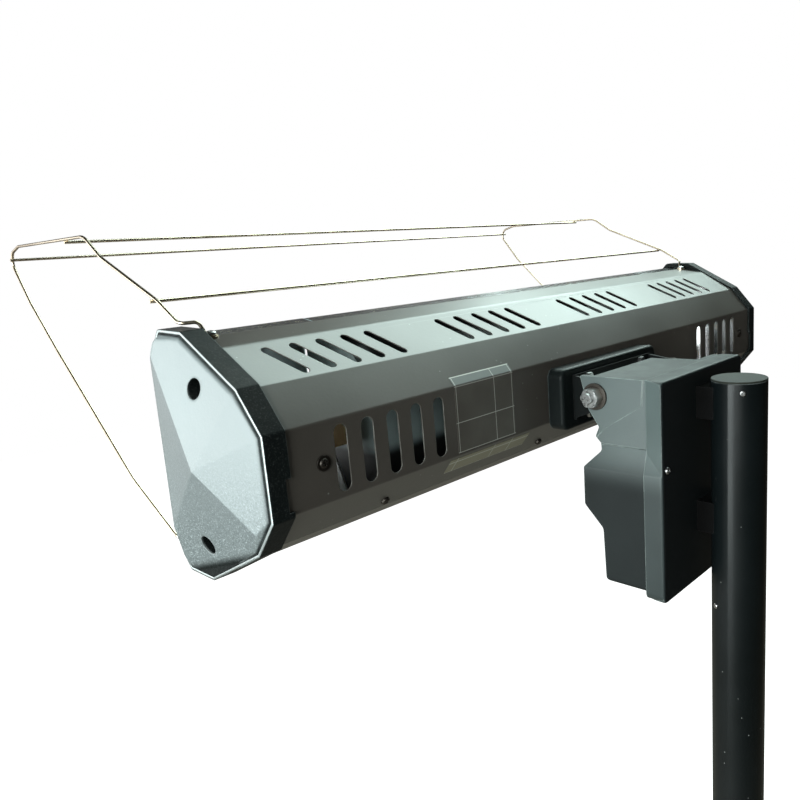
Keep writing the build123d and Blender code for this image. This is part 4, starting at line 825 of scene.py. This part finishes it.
class HEATER_OT_controls(bpy.types.Operator):
    """Finishes the switch, gland, board and the other small fittings"""
    bl_idname = "heater.controls"
    bl_label = "Finish Controls"

    def laminate(self):
        """Green board with copper runs under the resist, as the mortar of a brick pattern."""
        material, tree, point = new_material("board_laminate")
        turned = place(tree, "ShaderNodeMapping", {"Vector": point, "Rotation": (1.5708, 0, 0)})
        black = rgba((0, 0, 0))
        runs = place(tree, "ShaderNodeTexBrick",
                     {"Vector": turned.outputs[0], "Scale": 90.0, "Mortar Size": 0.03,
                      "Color1": black, "Color2": black, "Mortar": rgba(WHITE)}).outputs[1]
        grain = use(tree, grain_group(), Point=point, Scale=1500.0)
        base = blend_colour(tree, grain["Shade"], (0.012, 0.10, 0.045), (0.018, 0.14, 0.06))
        base = over(tree, base, (0.10, 0.30, 0.12), runs, 0.6)
        return close_material(material, base, raised(tree, 0.26, grain["Shade"], 0.08),
                              Normal=bump(tree, runs, 0.00006, 0.5))

    def execute(self, context):
        nylon = moulded("black_nylon", (0.014, 0.014, 0.014), (0.024, 0.024, 0.024),
                        (0.16, 0.16, 0.16), scale=900.0, radius=0.0006, rough=0.42, depth=0.00005,
                        dust=0.05)
        dress(nylon, "switch_housing", "cable_gland", "tip_over_switch", "pole_collar")
        dark = moulded("saddle_rubber", (0.003, 0.003, 0.003), (0.006, 0.006, 0.006),
                       (0.02, 0.02, 0.02), scale=900.0, radius=0.0006, rough=0.60, depth=0.00005,
                       shine=0.0)
        dress(dark, "pole_saddles")
        rocker = moulded("rocker_plastic", (0.016, 0.016, 0.017), (0.022, 0.022, 0.023),
                         (0.20, 0.20, 0.20), scale=2200.0, radius=0.0006, rough=0.16,
                         depth=0.00001, dust=0.02)
        dress(rocker, "switch_rocker")
        rubber = moulded("black_rubber", (0.014, 0.014, 0.014), (0.026, 0.025, 0.024),
                         (0.08, 0.08, 0.08), scale=500.0, radius=0.0008, rough=0.66,
                         depth=0.00012, dust=0.15)
        dress(rubber, "lead_grommet", "base_pad")
        fibre = moulded("fibre", (0.22, 0.12, 0.06), (0.30, 0.17, 0.09), (0.36, 0.25, 0.16),
                        scale=700.0, radius=0.0003, rough=0.72, depth=0.00010)
        dress(fibre, "friction_washers")
        relay = moulded("relay_plastic", (0.02, 0.05, 0.22), (0.03, 0.07, 0.28),
                        (0.20, 0.26, 0.46), scale=1800.0, radius=0.0005, rough=0.22,
                        depth=0.00001)
        dress(relay, "power_relay")
        dress(self.laminate(), "control_board")
        dress(bpy.data.materials["zinc_steel"], "mounting_plate", "board_standoffs",
              "pole_sleeve", "pole_inserts", "base_socket")
        return {"FINISHED"}


class HEATER_OT_stand(bpy.types.Operator):
    """Coats the pole and the base"""
    bl_idname = "heater.stand"
    bl_label = "Finish Pole And Base"

    def execute(self, context):
        colour = context.scene.heater_finish.pole_colour
        paint = coated_paint("pole_paint", colour, shade_of(colour, 1.4), (0.16, 0.18, 0.18),
                             scale=520.0, radius=0.0010, rough=0.30, Specular_IOR_Level=0.32)
        dress(paint, "pole_upper", "pole_lower", "base_cover")
        lid = moulded("pole_cap_plastic", (0.010, 0.012, 0.010), (0.018, 0.019, 0.015),
                      (0.22, 0.26, 0.26), scale=900.0, radius=0.0008, rough=0.50, depth=0.00005,
                      shine=0.12)
        dress(lid, "pole_cap")
        cast = coated_paint("weight_steel", (0.055, 0.055, 0.055), (0.09, 0.085, 0.08),
                            (0.22, 0.20, 0.18), scale=160.0, radius=0.0012, rough=0.55, dust=0.1)
        dress(cast, "base_plate")
        return {"FINISHED"}


class HEATER_OT_stage(bpy.types.Operator):
    """Builds the floor, the sky, the soft lights and the camera"""
    bl_idname = "heater.stage"
    bl_label = "Build Stage"

    def lookers(self, tree):
        """1 for what the camera sees, and 1 for what a reflection or glass shows, else 0."""
        path = place(tree, "ShaderNodeLightPath").outputs
        return path["Is Camera Ray"], most(tree, path["Is Glossy Ray"],
                                           path["Is Transmission Ray"])

    def floor(self, half):
        """A pale cloth, white to the camera. Its mirror image is darker and brown, and fades out
        on the camera's side."""
        material, tree, point = new_material("stage_floor")
        camera, mirrored = self.lookers(tree)
        pale = blend_colour(tree, remap(tree, noise(tree, point, 3.0, 4.0)),
                            (0.80, 0.80, 0.79), (0.84, 0.84, 0.83))
        near = remap(tree, split(tree, point)["Y"], 0.2, 1.6)
        pale = over(tree, pale, (0.05, 0.045, 0.04), near, mirrored)
        pale = over(tree, pale, (0.13, 0.10, 0.06), mirrored, 0.8)
        cloth = place(tree, "ShaderNodeBsdfDiffuse", {"Color": pale}).outputs[0]
        shown = times(tree, mirrored, remap(tree, near, 1.0, 0.0))
        power = raised(tree, times(tree, shown, 0.06), camera, 1.0)
        tint = blend_colour(tree, camera, (1.0, 0.88, 0.70), WHITE)
        glow = place(tree, "ShaderNodeEmission", {"Color": tint, "Strength": power}).outputs[0]
        mixed = place(tree, "ShaderNodeAddShader", {0: cloth, 1: glow}).outputs[0]
        place(tree, "ShaderNodeOutputMaterial", {0: mixed})
        side = np.linspace(-half, half, 13)
        u, v = np.meshgrid(side, side, indexing="ij")
        mesh = grid_mesh("studio_floor", np.stack([u, v, np.full_like(u, -0.0005)], axis=2))
        mesh.materials.append(material)
        floor = bpy.data.objects.new("studio_floor", mesh)
        bpy.context.scene.collection.objects.link(floor)

    def sky(self, strength):
        """White behind the heater for the camera, and for reflections a dark room with a white
        screen in front of the heater. Everything else gets an even fill."""
        world = bpy.data.worlds.new("studio_sky")
        world.use_nodes = True
        tree = world.node_tree
        tree.nodes.clear()
        camera, mirrored = self.lookers(tree)
        way = place(tree, "ShaderNodeTexCoord").outputs["Generated"]
        ahead = vector_step(tree, "DOT_PRODUCT", way, SCREEN_WAY)
        screen = times(tree, remap(tree, ahead, 0.25, 0.75),
                       remap(tree, split(tree, way)["Z"], 0.40, 0.12))
        room = blend_colour(tree, screen, (0.015, 0.014, 0.013), WHITE)
        fill, image, white = [place(tree, "ShaderNodeBackground", {"Color": rgba(colour),
                                                                   "Strength": power}).outputs[0]
                              for colour, power in (((0.97, 0.97, 0.96), strength), (room, 1.0),
                                                    (WHITE, 1.0))]
        mixed = place(tree, "ShaderNodeMixShader", {0: mirrored, 1: fill, 2: image}).outputs[0]
        mixed = place(tree, "ShaderNodeMixShader", {0: camera, 1: mixed, 2: white}).outputs[0]
        place(tree, "ShaderNodeOutputWorld", {0: mixed})
        bpy.context.scene.world = world

    def soft_light(self, name, power, spot, aim, size, colour):
        light = bpy.data.lights.new(name, "AREA")
        light.shape = "RECTANGLE"
        light.size, light.size_y = size
        light.energy = power
        light.color = colour
        lamp = bpy.data.objects.new(name, light)
        lamp.location = spot
        lamp.rotation_euler = (Vector(aim) - Vector(spot)).to_track_quat("-Z", "Y").to_euler()
        bpy.context.scene.collection.objects.link(lamp)

    def camera(self, lens):
        data = bpy.data.cameras.new("photo_camera")
        data.sensor_width = 36.0
        data.lens = lens
        data.shift_x = CAMERA_SHIFT
        right, down, ahead = [Vector(way) for way in CAMERA_WAYS]
        turn = Matrix((right, -down, -ahead)).transposed().to_4x4()
        camera = bpy.data.objects.new("photo_camera", data)
        camera.matrix_world = Matrix.Translation(CAMERA_PLACE) @ turn
        bpy.context.scene.collection.objects.link(camera)
        bpy.context.scene.camera = camera

    def execute(self, context):
        scene = context.scene
        stage = scene.heater_stage
        self.floor(stage.floor_half)
        self.sky(stage.sky_strength)
        for name, setting, *rest in LIGHTS:
            self.soft_light(name, getattr(stage, setting), *rest)
        self.camera(stage.lens)
        scene.view_settings.view_transform = "Standard"
        return {"FINISHED"}


STEPS = [HEATER_OT_housing, HEATER_OT_caps, HEATER_OT_lamp, HEATER_OT_guard, HEATER_OT_fasteners,
         HEATER_OT_labels, HEATER_OT_box, HEATER_OT_controls, HEATER_OT_stand, HEATER_OT_stage]


class HEATER_PT_finish(bpy.types.Panel):
    """Lists the heater's settings and the steps that dress it"""
    bl_idname = "HEATER_PT_finish"
    bl_label = "Patio Heater"
    bl_space_type = "VIEW_3D"
    bl_region_type = "UI"
    bl_category = "Heater"

    def draw(self, context):
        scene = context.scene
        for settings in (scene.heater_finish, scene.heater_detail, scene.heater_stage):
            for key in settings.__annotations__:
                self.layout.prop(settings, key)
        for step in STEPS:
            self.layout.operator(step.bl_idname)


CLASSES = [HeaterFinish, HeaterDetail, HeaterStage, *STEPS, HEATER_PT_finish]


def register():
    for each in CLASSES:
        bpy.utils.register_class(each)
    bpy.types.Scene.heater_finish = PointerProperty(type=HeaterFinish)
    bpy.types.Scene.heater_detail = PointerProperty(type=HeaterDetail)
    bpy.types.Scene.heater_stage = PointerProperty(type=HeaterStage)


def unregister():
    del bpy.types.Scene.heater_stage
    del bpy.types.Scene.heater_detail
    del bpy.types.Scene.heater_finish
    for each in reversed(CLASSES):
        bpy.utils.unregister_class(each)


def main():
    register()
    bpy.ops.heater.housing()
    bpy.ops.heater.caps()
    bpy.ops.heater.lamp()
    bpy.ops.heater.guard()
    bpy.ops.heater.fasteners()
    bpy.ops.heater.labels()
    bpy.ops.heater.box()
    bpy.ops.heater.controls()
    bpy.ops.heater.stand()
    bpy.ops.heater.stage()


if __name__ == "__main__":
    main()
